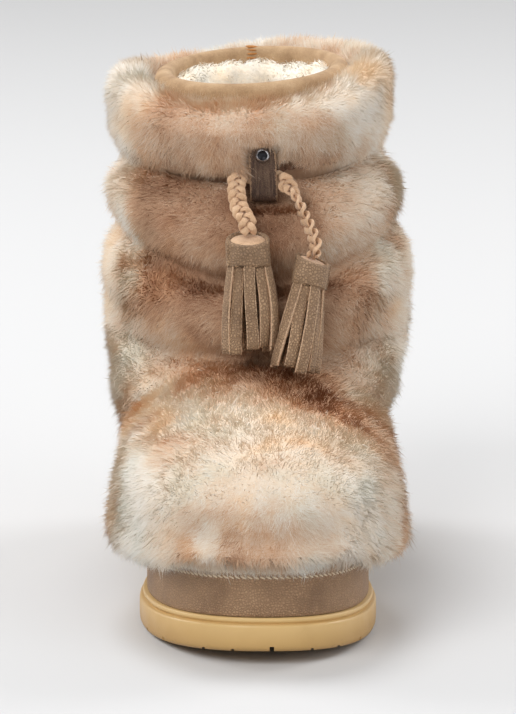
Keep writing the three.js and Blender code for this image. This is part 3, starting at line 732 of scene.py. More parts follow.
@dataclass(frozen=True)
class Coat:
    """How the hairs of one piece grow."""

    hairs: int
    tufts: int
    rows: tuple[float, float]
    seed: int
    bent: bool = False  # a bent hair has a middle, a straight one only a root and a tip
    length: float = 6.8
    depth: float = 3.3  # the roots' depth under the pile's surface
    width: float = 0.34
    spread: float = 1.5  # how far from its tuft's middle a hair stands
    clump: float = 0.3  # how far the tips are drawn together
    lie: float = 0.9  # how flat they lie, in radians from upright
    swirl: float = 0.8
    droop: float = 0.06
    curl: float = 0.0
    unruly: float = 0.5  # how far single hairs turn from their tuft's way
    relief: float = 0.12  # how much each hair's own face shows in its shading


class FurGrower:
    """Grows hairs in tufts on a pelt, as one mesh of narrow blades."""

    def __init__(self, pelt: Pelt, tones: Iterable[Patch], lengths: Iterable[Patch]) -> None:
        """Keeps the pelt and its patches.

        Args:
            pelt: the skin.
            tones: patches of colour.
            lengths: patches where the hairs are shorter or longer.
        """
        self.pelt = pelt
        self.tones = tuple(tones)
        self.lengths = tuple(lengths)
        self.comb_drift = Drift(71, 34)
        self.comb_fine = Drift(72, 13)
        self.tone_drift = Drift(73, 46)
        self.tone_fine = Drift(74, 15)

    def axes(
        self, u: np.ndarray, v: np.ndarray, depth: np.ndarray, sway: np.ndarray
    ) -> tuple[np.ndarray, ...]:
        """Where hairs start, and how they stand.

        Args:
            u: places round the pelt.
            v: places along it.
            depth: how deep their roots are.
            sway: how far each is turned from the comb, in radians.

        Returns:
            Roots, normals and the ways that the hairs lie.
        """
        pelt = self.pelt
        spot = pelt.look_up(pelt.spots, u, v)
        normal = unit(pelt.look_up(pelt.normal, u, v))
        comb = unit(pelt.look_up(pelt.comb, u, v))
        around = unit(pelt.look_up(pelt.around, u, v))
        way = comb * np.cos(sway)[:, None] + around * np.sin(sway)[:, None]
        return spot - normal * depth[:, None], normal, way

    def strand(
        self, root: np.ndarray, normal: np.ndarray, way: np.ndarray, length: np.ndarray, lie: np.ndarray,
        droop: float
    ) -> tuple[np.ndarray, np.ndarray]:
        """The middle and the tip of hairs.

        Args:
            root: their roots.
            normal: the pelt's normals.
            way: the ways that they lie.
            length: their lengths.
            lie: how flat they lie.
            droop: how much the tips hang.

        Returns:
            Middles and tips.
        """
        up, flat = np.cos(lie * 0.6)[:, None], np.sin(lie * 0.6)[:, None]
        middle = root + (normal * up + way * flat) * (length * 0.52)[:, None]
        up, flat = np.cos(lie * 1.25)[:, None], np.sin(lie * 1.25)[:, None]
        last = normal * up + way * flat
        last[:, 2] -= droop
        return middle, middle + unit(last) * (length * 0.5)[:, None]

    def grow(self, name: str, coat: Coat, material: bpy.types.Material, base_tone: float) -> bpy.types.Object:
        """Grows one piece of fur.

        Args:
            name: the piece's name.
            coat: how its hairs grow.
            material: their finish.
            base_tone: how brown the fur is away from the patches.

        Returns:
            The piece.
        """
        rng = np.random.default_rng(coat.seed)
        share = 1.0
        count = int(coat.hairs * share)
        tuft = self.pelt.scatter(rng, coat.tufts, coat.rows)
        tuft_spot = self.pelt.look_up(self.pelt.block, tuft[:, 0], tuft[:, 1])
        tuft_sway = coat.swirl * (1.1 * self.comb_drift.at(tuft_spot) + 0.7 * self.comb_fine.at(tuft_spot))
        tuft_sway += rng.normal(0, 0.28, coat.tufts) * (1 + coat.curl * 4)
        tuft_lie = coat.lie * rng.uniform(0.76, 1.18, coat.tufts)
        factor = patched(tuft_spot, 1.0, self.lengths)
        tuft_length = coat.length * rng.uniform(0.78, 1.2, coat.tufts) * factor
        drift = 0.12 * self.tone_drift.at(tuft_spot) + 0.1 * self.tone_fine.at(tuft_spot)
        tuft_tone = fur_tone(tuft_spot, base_tone + drift, self.tones) + 0.7 * drift
        tuft_tone += rng.normal(0, 0.045, coat.tufts)

        owner = np.arange(count) % coat.tufts
        away = rng.normal(0, coat.spread, (count, 2))
        away = np.clip(away, -2.2 * coat.spread, 2.2 * coat.spread)
        scale_u = self.pelt.look_up(self.pelt.step_u, tuft[:, 0], tuft[:, 1])[owner]
        scale_v = self.pelt.look_up(self.pelt.step_v, tuft[:, 0], tuft[:, 1])[owner]
        u = tuft[owner, 0] + away[:, 0] / scale_u
        v = tuft[owner, 1] + away[:, 1] / scale_v
        v = np.clip(v, 0.004, 0.996) + rng.uniform(-0.003, 0.003, count)
        sway = tuft_sway[owner] + rng.normal(0, coat.unruly, count)
        lie = np.clip(tuft_lie[owner] + rng.normal(0, 0.2, count), 0.15, 1.4)
        length = tuft_length[owner] * rng.uniform(0.72, 1.12, count)
        depth = coat.depth * np.minimum(factor, 1.0)
        root, normal, way = self.axes(u, v, depth[owner], sway)
        middle, tip = self.strand(root, normal, way, length, lie, coat.droop)
        heart, tuft_normal, tuft_way = self.axes(tuft[:, 0], tuft[:, 1], depth, tuft_sway)
        tuft_middle, tuft_tip = self.strand(heart, tuft_normal, tuft_way, tuft_length, tuft_lie, coat.droop)
        pull = coat.clump * rng.uniform(0.55, 1.1, count)[:, None]
        aim = tuft_tip[owner] + (root - heart[owner]) * 0.22 + rng.normal(0, 0.35, (count, 3))
        tip = mix(tip, aim, np.clip(pull, 0, 0.95))
        middle = mix(middle, tuft_middle[owner] + (root - heart[owner]) * 0.6, pull * 0.5)
        if coat.curl:
            twist = rng.uniform(0, 2 * math.pi, count)[:, None]
            side = unit(np.cross(normal, way))
            middle = middle + (side * np.cos(twist) + way * np.sin(twist)) * coat.curl * length[:, None]
        tone = np.clip(tuft_tone[owner] + rng.normal(0, 0.06, count), 0, 1)
        return self.blades(name, coat, material, (root, middle, tip), normal, tone, rng)

    def blades(
        self,
        name: str,
        coat: Coat,
        material: bpy.types.Material,
        spine: tuple[np.ndarray, np.ndarray, np.ndarray],
        normal: np.ndarray,
        tone: np.ndarray,
        rng: np.random.Generator,
    ) -> bpy.types.Object:
        """Makes the hairs' mesh from arrays.

        Args:
            name: the piece's name.
            coat: how its hairs grow.
            material: their finish.
            spine: roots, middles and tips.
            normal: the pelt's normals.
            tone: how brown each hair is.
            rng: the source of random numbers.

        Returns:
            The piece.
        """
        root, middle, tip = spine
        count = len(root)
        axis = unit(tip - root)
        flat = unit(np.cross(axis, normal))
        rolled = unit(np.cross(axis, flat))
        roll = rng.normal(0, 0.42, count)[:, None]
        across = flat * np.cos(roll) + rolled * np.sin(roll)
        half = (coat.width / 2 * rng.uniform(0.7, 1.25, count))[:, None]
        rows = [root - across * half, root + across * half]
        along = [0.0, 0.0]
        corners, starts, across_uv, along_uv = [0, 1, 2], [0], [0.1, 0.9, 0.5], [0.1, 0.1, 0.9]
        if coat.bent:
            rows += [middle - across * half, middle + across * half]
            along += [0.5, 0.5]
            corners, starts = [0, 1, 3, 2, 2, 3, 4], [0, 4]
            across_uv, along_uv = [0.1, 0.9, 0.9, 0.1, 0.1, 0.9, 0.5], [0.1, 0.1, 0.5, 0.5, 0.5, 0.5, 0.9]
        points = np.stack([*rows, tip], axis=1) * MM
        along.append(1.0)
        size, turns = len(along), len(corners)
        mesh = bpy.data.meshes.new(name)
        mesh.vertices.add(count * size)
        mesh.vertices.foreach_set("co", points.astype(np.float32).ravel())
        mesh.loops.add(count * turns)
        number = np.arange(count)[:, None]
        mesh.loops.foreach_set("vertex_index", (number * size + np.array(corners)).astype(np.int32).ravel())
        mesh.polygons.add(count * len(starts))
        mesh.polygons.foreach_set("loop_start", (number * turns + np.array(starts)).astype(np.int32).ravel())
        mesh.update(calc_edges=True)
        cells = math.ceil(math.sqrt(count))
        uv = np.stack(
            [
                (number % cells + np.array(across_uv)) / cells,
                (number // cells + np.array(along_uv)) / cells
            ],
            axis=-1
        )
        mesh.uv_layers.new(name="OFBake").data.foreach_set("uv", uv.astype(np.float32).ravel())
        shape = (count, size)
        chance = np.broadcast_to(rng.uniform(0, 1, (count, 1)), shape)
        colour = np.stack(
            [np.broadcast_to(along, shape), np.broadcast_to(tone[:, None], shape), chance, np.ones(shape)],
            axis=-1
        )
        mesh.attributes.new("hair", "FLOAT_COLOR", "POINT").data.foreach_set(
            "color", colour.astype(np.float32).ravel()
        )
        blade = unit(np.cross(across, axis))
        blade *= np.sign(np.sum(blade * normal, axis=-1, keepdims=True) + 1e-9)
        facing = unit(normal + blade * coat.relief)
        high = unit(facing + axis * 0.2)
        normals = np.stack([facing] * (size - 1) + [high], axis=1).reshape(-1, 3)
        mesh.shade_smooth()
        mesh.normals_split_custom_set_from_vertices(normals.astype(np.float32))
        mesh.materials.append(material)
        piece = bpy.data.objects.new(name, mesh)
        piece.visible_shadow = False  # light passes through a real pile, so its depth is the undercoat's
        bpy.context.scene.collection.objects.link(piece)
        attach(piece, "root")
        return piece


class Wiring:
    """Adds nodes to a shader tree and joins them."""

    def __init__(self, tree: bpy.types.NodeTree) -> None:
        """Keeps the tree."""
        self.tree = tree

    def node(self, kind: str, inputs: dict | None = None, **settings: object) -> bpy.types.Node:
        """Adds one node.

        Args:
            kind: the node's type, without the words ShaderNode.
            inputs: values or sockets for its inputs, by name or number.
            settings: its other settings.

        Returns:
            The node.
        """
        node = self.tree.nodes.new(kind if kind.startswith("NodeGroup") else "ShaderNode" + kind)
        for key, value in settings.items():
            setattr(node, key, value)
        for key, value in (inputs or {}).items():
            if isinstance(value, bpy.types.NodeSocket):
                self.tree.links.new(value, node.inputs[key])
            else:
                node.inputs[key].default_value = value
        return node

    def group(self, name: str, inputs: dict) -> bpy.types.Node:
        """Adds one of the shared groups, with values or sockets for its inputs."""
        return self.node("Group", inputs, node_tree=bpy.data.node_groups[name])

    def join(self, source: bpy.types.NodeSocket, target: bpy.types.NodeSocket) -> None:
        """Joins an output to an input."""
        self.tree.links.new(source, target)

    def blend(self, amount: object, a: object, b: object, how: str = "MIX") -> bpy.types.NodeSocket:
        """A colour between two others.

        Args:
            amount: how much of b.
            a: the first colour.
            b: the second colour.
            how: the way of blending.

        Returns:
            The colour's socket.
        """
        node = self.node("Mix", data_type="RGBA", blend_type=how)
        for index, value in ((0, amount), (6, a), (7, b)):
            if isinstance(value, bpy.types.NodeSocket):
                self.tree.links.new(value, node.inputs[index])
            else:
                node.inputs[index].default_value = value
        return node.outputs[2]

    def maths(self, how: str, a: object, b: object = 0.0, clamp: bool = False) -> bpy.types.NodeSocket:
        """A sum of two values, as the Math node's operation names it."""
        return self.node("Math", {0: a, 1: b}, operation=how, use_clamp=clamp).outputs[0]

    def spread(
        self, value: object, low: float, high: float, to_low: float = 0.0, to_high: float = 1.0
    ) -> bpy.types.NodeSocket:
        """A value brought softly from one range to another."""
        settings = {"Value": value, "From Min": low, "From Max": high, "To Min": to_low, "To Max": to_high}
        return self.node("MapRange", settings, interpolation_type="SMOOTHSTEP").outputs[0]

    def ramp(self, value: object, stops: Iterable[tuple[float, tuple]]) -> bpy.types.NodeSocket:
        """A colour picked from a row of colours.

        Args:
            value: the place in the row.
            stops: places and colours.

        Returns:
            The colour's socket.
        """
        node = self.node("ValToRGB", {0: value})
        stops = list(stops)
        row = node.color_ramp.elements
        while len(row) < len(stops):
            row.new(0.5)
        for element, (place, colour) in zip(row, stops):
            element.position = place
            element.color = colour
        return node.outputs[0]


def shader_group(
    name: str, takes: dict[str, object], gives: dict[str, str]
) -> tuple[Wiring, dict, bpy.types.Node]:
    """Starts a shader node group with named inputs and outputs.

    Args:
        name: the group's name.
        takes: inputs and their first values; a tuple is a colour, None a point.
        gives: outputs and their socket types.

    Returns:
        Its wiring, its inputs by name and its output node.
    """
    tree = bpy.data.node_groups.new(name, "ShaderNodeTree")
    for key, value in takes.items():
        other = "NodeSocketColor" if isinstance(value, tuple) else "NodeSocketFloat"
        kind = "NodeSocketVector" if value is None else other
        socket = tree.interface.new_socket(key, in_out="INPUT", socket_type=kind)
        if value is not None:
            socket.default_value = value
    for key, kind in gives.items():
        tree.interface.new_socket(key, in_out="OUTPUT", socket_type=kind)
    wiring = Wiring(tree)
    source = wiring.node("NodeGroupInput")
    return wiring, {s.name: s for s in source.outputs if s.name}, wiring.node("NodeGroupOutput")


def make_pebble_group() -> None:
    """Leather's grain: small pebbles with creases between them."""
    w, take, out = shader_group(
        "Pebble grain", {"Point": None, "Scale": 900.0, "Depth": 1.0},
        {"Height": "NodeSocketFloat", "Crease": "NodeSocketFloat"},
    )
    cells = w.node("TexVoronoi", {"Vector": take["Point"], "Scale": take["Scale"], "Randomness": 0.9})
    cells.feature = "DISTANCE_TO_EDGE"
    crease = w.spread(cells.outputs["Distance"], 0.02, 0.22, 1.0, 0.0)
    noise = w.node(
        "TexNoise",
        {"Vector": take["Point"], "Scale": w.maths("MULTIPLY", take["Scale"], 0.35), "Detail": 4.0}
    )
    low = w.maths("MULTIPLY", noise.outputs[0], 0.5)
    height = w.maths("SUBTRACT", low, w.maths("MULTIPLY", crease, 0.55))
    w.join(w.maths("MULTIPLY", height, take["Depth"]), out.inputs["Height"])
    w.join(crease, out.inputs["Crease"])


def make_mottle_group() -> None:
    """Uneven colour: soft clouds and small flecks over a base."""
    w, take, out = shader_group(
        "Mottle",
        {
            "Point": None, "Base": (0.5, 0.5, 0.5, 1.0), "Light": (0.7, 0.7, 0.7, 1.0),
            "Dark": (0.3, 0.3, 0.3, 1.0), "Scale": 40.0, "Amount": 0.5
        },
        {"Color": "NodeSocketColor", "Mask": "NodeSocketFloat"},
    )
    clouds = w.node(
        "TexNoise", {"Vector": take["Point"], "Scale": take["Scale"], "Detail": 5.0, "Roughness": 0.6}
    )
    flecks = w.node(
        "TexNoise",
        {"Vector": take["Point"], "Scale": w.maths("MULTIPLY", take["Scale"], 9.0), "Detail": 3.0}
    )
    light = w.maths("MULTIPLY", w.spread(clouds.outputs[0], 0.48, 0.72), take["Amount"])
    dark = w.maths("MULTIPLY", w.spread(clouds.outputs[0], 0.5, 0.28), take["Amount"])
    colour = w.blend(dark, w.blend(light, take["Base"], take["Light"]), take["Dark"])
    fleck = w.maths(
        "MULTIPLY", w.spread(flecks.outputs[0], 0.55, 0.75), w.maths("MULTIPLY", take["Amount"], 0.5)
    )
    w.join(w.blend(fleck, colour, take["Dark"]), out.inputs["Color"])
    w.join(clouds.outputs[0], out.inputs["Mask"])


def make_nap_group() -> None:
    """Suede's nap: short fibres that lie one way and another."""
    w, take, out = shader_group(
        "Nap", {"Point": None, "Scale": 1500.0}, {"Height": "NodeSocketFloat", "Shade": "NodeSocketFloat"}
    )
    fibre = w.node(
        "TexNoise",
        {
            "Vector": take["Point"], "Scale": take["Scale"], "Detail": 6.0, "Roughness": 0.7,
            "Distortion": 0.6
        }
    )
    stroke = w.node(
        "TexNoise",
        {"Vector": take["Point"], "Scale": w.maths("MULTIPLY", take["Scale"], 0.08), "Detail": 3.0}
    )
    w.join(fibre.outputs[0], out.inputs["Height"])
    w.join(
        w.maths(
            "ADD", w.maths("MULTIPLY", fibre.outputs[0], 0.45), w.maths("MULTIPLY", stroke.outputs[0], 0.55)
        ),
        out.inputs["Shade"]
    )


def make_warm_group() -> None:
    """Fur's colour drifting from peach to grey-beige over the hide."""
    w, take, out = shader_group(
        "Warm drift", {"Point": None, "Color": (0.5, 0.5, 0.5, 1.0), "Scale": 32.0},
        {"Color": "NodeSocketColor"}
    )
    clouds = w.node(
        "TexNoise", {"Vector": take["Point"], "Scale": take["Scale"], "Detail": 3.0, "Roughness": 0.6}
    ).outputs[0]
    peach = w.blend(w.spread(clouds, 0.5, 0.72), take["Color"], (1.06, 0.96, 0.84, 1.0), "MULTIPLY")
    w.join(
        w.blend(w.spread(clouds, 0.5, 0.3), peach, (0.93, 0.97, 0.98, 1.0), "MULTIPLY"), out.inputs["Color"]
    )


@dataclass(frozen=True)
class Finish:
    """A surface's finish: what every one of them has."""

    name: str
    roughness: float = 0.6
    gloss: float = 0.4
    sheen: float = 0.0

    def start(self) -> tuple[bpy.types.Material, Wiring, bpy.types.Node, bpy.types.NodeSocket]:
        """Starts the material.

        Returns:
            The material, its wiring, its shader and the point on the piece.
        """
        material = bpy.data.materials.new(self.name)
        material.use_nodes = True
        w = Wiring(material.node_tree)
        shader = material.node_tree.nodes["Principled BSDF"]
        shader.inputs["Roughness"].default_value = self.roughness
        shader.inputs["Specular IOR Level"].default_value = self.gloss
        shader.inputs["Sheen Weight"].default_value = self.sheen
        point = w.node("TexCoord").outputs["Object"]
        return material, w, shader, point

    def raise_up(
        self, w: Wiring, shader: bpy.types.Node, height: bpy.types.NodeSocket, strength: float,
        distance: float
    ) -> None:
        """Feeds a height to the shader's normal through a Bump node."""
        relief = w.node("Bump", {"Height": height, "Strength": strength, "Distance": distance})
        w.join(relief.outputs[0], shader.inputs["Normal"])

    def stretched(
        self, w: Wiring, point: bpy.types.NodeSocket, scale: tuple[float, float, float]
    ) -> bpy.types.NodeSocket:
        """A point scaled along each axis, for streaks and scratches."""
        return w.node("Mapping", {"Vector": point, "Scale": scale}).outputs[0]

    def warmed(
        self, w: Wiring, point: bpy.types.NodeSocket, colour: bpy.types.NodeSocket
    ) -> bpy.types.NodeSocket:
        """A fur's colour with its slow drift over the hide."""
        return w.group("Warm drift", {"Point": point, "Color": colour}).outputs["Color"]


@dataclass(frozen=True)
class Leather(Finish):
    """Grained leather, with pale raw edges where the piece's UV map ends across it."""

    base: tuple = tint(146, 120, 96)
    light: tuple = tint(170, 145, 118)
    dark: tuple = tint(112, 88, 68)
    edge: tuple = tint(214, 178, 145)
    pebble: float = 1100.0
    edge_width: float = 0.0  # share of the width that the raw edge takes on each side
    streaks: float = 0.0  # how strongly it is streaked up and down

    def make(self) -> bpy.types.Material:
        """Builds the material.

        Returns:
            The material.
        """
        material, w, shader, point = self.start()
        colours = {"Base": self.base, "Light": self.light, "Dark": self.dark}
        mottle = w.group("Mottle", {"Point": point, **colours, "Scale": 55.0, "Amount": 0.75})
        grain = w.group("Pebble grain", {"Point": point, "Scale": self.pebble})
        colour = w.blend(
            w.maths("MULTIPLY", grain.outputs["Crease"], 0.6), mottle.outputs["Color"], self.dark
        )
        height = grain.outputs["Height"]
        if self.streaks:
            streaked = self.stretched(w, point, (1400.0, 1400.0, 120.0))
            lines = w.node("TexNoise", {"Vector": streaked, "Scale": 1.0, "Detail": 3.0})
            mask = w.maths("MULTIPLY", w.spread(lines.outputs[0], 0.42, 0.68), self.streaks)
            colour = w.blend(mask, colour, self.light)
            height = w.maths("ADD", height, w.maths("MULTIPLY", lines.outputs[0], 0.6))
        if self.edge_width:
            across = w.node("SeparateXYZ", {0: w.node("UVMap", uv_map="UVMap").outputs[0]}).outputs[0]
            from_edge = w.maths("MINIMUM", across, w.maths("SUBTRACT", 1.0, across))
            dots = w.node("TexNoise", {"Vector": point, "Scale": 900.0, "Detail": 2.0})
            reach = w.spread(dots.outputs[0], 0.35, 0.65, self.edge_width * 0.5, self.edge_width * 1.6)
            bare = w.maths("LESS_THAN", from_edge, reach)
            colour = w.blend(bare, colour, self.edge)
        w.join(colour, shader.inputs["Base Color"])
        w.join(
            w.spread(mottle.outputs["Mask"], 0.3, 0.7, self.roughness - 0.08, self.roughness + 0.1),
            shader.inputs["Roughness"]
        )
        self.raise_up(w, shader, height, 1.0, 0.0006)
        return material


@dataclass(frozen=True)
class Suede(Finish):
    """Napped leather."""

    base: tuple = tint(178, 147, 113)
    light: tuple = tint(198, 168, 134)
    dark: tuple = tint(148, 118, 88)

    def make(self) -> bpy.types.Material:
        """Builds the material.

        Returns:
            The material.
        """
        material, w, shader, point = self.start()
        nap = w.group("Nap", {"Point": point})
        colour = w.ramp(nap.outputs["Shade"], [(0.32, self.dark), (0.5, self.base), (0.68, self.light)])
        w.join(colour, shader.inputs["Base Color"])
        self.raise_up(w, shader, nap.outputs["Height"], 0.7, 0.0003)
        return material


@dataclass(frozen=True)
class GumRubber(Finish):
    """Honey-coloured moulded rubber, darker low down as painted shade and lighter towards its ledge as a
    painted highlight, with scuffs low down.
    """

    # light and low are the ends of a painted height gradient: a painted highlight towards the ledge and
    # painted shade near the floor; low also darkens random clouds
    light: tuple = tint(214, 180, 122)
    base: tuple = tint(200, 163, 104)
    low: tuple = tint(180, 141, 84)
    dirt: tuple = tint(120, 90, 58)

    def make(self) -> bpy.types.Material:
        """Builds the material.

        Returns:
            The material.
        """
        material, w, shader, point = self.start()
        height = w.node("SeparateXYZ", {0: point}).outputs[2]
        # painted shade and highlight: the colour runs from low near the floor to light at the ledge, by
        # height alone
        tall = w.ramp(w.spread(height, 0.0, 0.022), [(0.0, self.low), (0.45, self.base), (0.95, self.light)])
        clouds = w.node("TexNoise", {"Vector": point, "Scale": 60.0, "Detail": 4.0})
        colour = w.blend(w.spread(clouds.outputs[0], 0.45, 0.8, 0.0, 0.3), tall, self.low)
        flat = self.stretched(w, point, (1.0, 1.0, 4.0))
        scuffs = w.node("TexNoise", {"Vector": flat, "Scale": 420.0, "Detail": 5.0})
        near_floor = w.spread(height, 0.0105, 0.0005)
        worn = w.maths("MULTIPLY", w.spread(scuffs.outputs[0], 0.58, 0.72), near_floor)
        colour = w.blend(w.maths("MULTIPLY", worn, 0.55), colour, self.dirt)
        w.join(colour, shader.inputs["Base Color"])
        w.join(
            w.spread(clouds.outputs[0], 0.3, 0.7, self.roughness - 0.06, self.roughness + 0.1),
            shader.inputs["Roughness"]
        )
        fine = w.node("TexNoise", {"Vector": point, "Scale": 1800.0, "Detail": 3.0})
        self.raise_up(
            w, shader, w.maths("ADD", fine.outputs[0], w.maths("MULTIPLY", worn, -0.8)), 0.25, 0.00015
        )
        return material


@dataclass(frozen=True)
class Pile(Finish):
    """Fur: each hair's colour comes from how brown it is and how near its tip, browner towards the root as
    its own colour and as painted shade.
    """

    stops: tuple = (
        (0.0, tint(226, 221, 213)), (0.25, tint(214, 199, 180)), (0.5, tint(197, 161, 131)),
        (0.75, tint(150, 111, 86)), (1.0, tint(98, 69, 52)),
    )
    # how much browner the hairs are towards the root: partly their own colour, partly painted shade in place
    # of the shadow that they don't cast
    root_brown_and_shade: float = 0.11
    tip_frost: float = 0.1

    def make(self) -> bpy.types.Material:
        """Builds the material.

        Returns:
            The material.
        """
        material, w, shader, point = self.start()
        hair = w.node("Attribute", attribute_name="hair", attribute_type="GEOMETRY")
        parts = w.node("SeparateColor", {0: hair.outputs["Color"]})
        along, tone, chance = parts.outputs[0], parts.outputs[1], parts.outputs[2]
        # darker towards the root: the hair's own colour and painted shade
        deep = w.maths("MULTIPLY", w.maths("SUBTRACT", 1.0, along), self.root_brown_and_shade)
        varied = w.maths("MULTIPLY", w.maths("SUBTRACT", chance, 0.5), 0.09)
        frost = w.maths("MULTIPLY", w.maths("MULTIPLY", along, along), self.tip_frost)
        brown = w.maths("SUBTRACT", w.maths("ADD", w.maths("ADD", tone, varied), deep), frost, clamp=True)
        w.join(self.warmed(w, point, w.ramp(brown, self.stops)), shader.inputs["Base Color"])
        return material


@dataclass(frozen=True)
class Undercoat(Pile):
    """The dense wool under the hairs' tips, in the same colours as they are, a little browner with painted
    shade under the hairs.
    """

    # browner than the hairs over it: the wool's own colour and painted shade under the hairs
    browner_and_shade: float = 0.02  # how much browner it is than the hairs over it
    mottle: float = 0.2

    def make(self) -> bpy.types.Material:
        """Builds the material.

        Returns:
            The material.
        """
        material, w, shader, point = self.start()
        hair = w.node("Attribute", attribute_name="hair", attribute_type="GEOMETRY")
        tone = w.node("SeparateColor", {0: hair.outputs["Color"]}).outputs[1]
        wool = w.node(
            "TexNoise", {"Vector": point, "Scale": 420.0, "Detail": 5.0, "Distortion": 1.0}
        ).outputs[0]
        varied = w.maths("MULTIPLY", w.maths("SUBTRACT", wool, 0.5), self.mottle)
        # a little browner: painted shade under the hairs and the wool's own colour
        brown = w.maths("ADD", w.maths("ADD", tone, varied), self.browner_and_shade, clamp=True)
        w.join(self.warmed(w, point, w.ramp(brown, self.stops)), shader.inputs["Base Color"])
        self.raise_up(w, shader, wool, 0.35, 0.0008)
        return material


@dataclass(frozen=True)
class Fleece(Finish):
    """Woolly cloth under the curls of the lining."""

    light: tuple = tint(240, 236, 228)
    dark: tuple = tint(218, 209, 194)

    def make(self) -> bpy.types.Material:
        """Builds the material.

        Returns:
            The material.
        """
        material, w, shader, point = self.start()
        wool = w.node("TexNoise", {"Vector": point, "Scale": 500.0, "Detail": 6.0, "Distortion": 1.2})
        w.join(w.ramp(wool.outputs[0], [(0.35, self.dark), (0.65, self.light)]), shader.inputs["Base Color"])
        self.raise_up(w, shader, wool.outputs[0], 0.25, 0.0006)
        return material


@dataclass(frozen=True)
class Steel(Finish):
    """Dark polished metal with fine scratches."""

    base: tuple = (0.32, 0.32, 0.34, 1.0)

    def make(self) -> bpy.types.Material:
        """Builds the material.

        Returns:
            The material.
        """
        material, w, shader, point = self.start()
        shader.inputs["Metallic"].default_value = 1.0
        brushed = self.stretched(w, point, (300.0, 300.0, 4000.0))
        scratches = w.node("TexNoise", {"Vector": brushed, "Scale": 1.0, "Detail": 2.0})
        worn = dimmed(self.base, 0.6)
        w.join(
            w.blend(w.spread(scratches.outputs[0], 0.4, 0.7), self.base, worn), shader.inputs["Base Color"]
        )
        w.join(
            w.spread(scratches.outputs[0], 0.3, 0.7, self.roughness, self.roughness + 0.18),
            shader.inputs["Roughness"]
        )
        return material


@dataclass(frozen=True)
class Paper(Finish):
    """The pale floor."""

    base: tuple = (0.63, 0.632, 0.638, 1.0)

    def make(self) -> bpy.types.Material:
        """Builds the material.

        Returns:
            The material.
        """
        material, w, shader, point = self.start()
        fibre = w.node("TexNoise", {"Vector": point, "Scale": 3.0, "Detail": 2.0})
        shade = dimmed(self.base, 0.985)
        w.join(w.blend(fibre.outputs[0], self.base, shade), shader.inputs["Base Color"])
        return material


class Finishes:
    """All the boot's finishes, made once."""

    def __init__(self) -> None:
        """Makes the shared groups, then the materials."""
        make_pebble_group()
        make_mottle_group()
        make_nap_group()
        make_warm_group()
        self.gum = GumRubber("gum rubber", roughness=0.4, gloss=0.45).make()
        self.rand = Leather(
            "taupe leather", roughness=0.6, base=tint(170, 136, 104), light=tint(192, 158, 125),
            dark=tint(134, 103, 76), pebble=900.0
        ).make()
        self.tassel = Leather(
            "tassel leather", roughness=0.66, base=tint(164, 133, 103), light=tint(188, 156, 124),
            dark=tint(110, 84, 61), pebble=800.0, edge_width=0.05
        ).make()
        self.sleeve = Leather(
            "sleeve leather", roughness=0.6, base=tint(164, 133, 103), light=tint(188, 156, 124),
            dark=tint(108, 84, 62), pebble=800.0
        ).make()
        self.tab = Leather(
            "dark leather", roughness=0.7, base=tint(92, 70, 57), light=tint(132, 106, 86),
            dark=tint(62, 45, 36), edge=tint(160, 128, 100), pebble=1300.0, edge_width=0.05, streaks=0.55
        ).make()
        self.loop = Leather("loop leather", roughness=0.6, edge_width=0.06).make()
        self.braid = Suede("pale braid", roughness=0.85, gloss=0.2, sheen=0.25, base=tint(208, 171, 136),
                           light=tint(226, 193, 160), dark=tint(158, 120, 88)).make()
        self.cord = Suede(
            "dark braid", roughness=0.8, gloss=0.25, base=tint(104, 74, 56), light=tint(134, 100, 78),
            dark=tint(66, 44, 32)
        ).make()
        self.binding = Suede("binding suede", roughness=0.9, gloss=0.1, sheen=0.1).make()
        self.thread = Suede("beige thread", roughness=0.7, gloss=0.3, base=tint(222, 203, 174),
                            light=tint(236, 220, 196), dark=tint(190, 168, 138)).make()
        self.orange_thread = Suede("orange thread", roughness=0.7, gloss=0.3, base=tint(190, 130, 72),
                                   light=tint(206, 150, 92), dark=tint(150, 98, 52)).make()
        self.fur = Pile("long fur", roughness=0.9, gloss=0.06).make()
        self.fleece = Pile(
            "fleece pile", roughness=0.85, gloss=0.06, root_brown_and_shade=0.06, tip_frost=0.02,
            stops=((0.0, tint(240, 236, 228)), (0.5, tint(226, 219, 206)), (1.0, tint(202, 192, 174)))
        ).make()
        self.wool = Undercoat("undercoat", roughness=0.95, gloss=0.05).make()
        self.lining = Fleece("lining", roughness=0.95, gloss=0.1).make()
        self.steel = Steel("bright steel", roughness=0.2, gloss=0.5, base=(0.5, 0.5, 0.52, 1.0)).make()
        # steel painted dark, for a painted dark reflection in the rivet's middle
        self.steel_painted_dark = Steel("steel painted dark", roughness=0.3, gloss=0.5, base=(0.035, 0.035, 0.04, 1.0)).make()
        self.paper = Paper("pale floor", roughness=0.8, gloss=0.1).make()


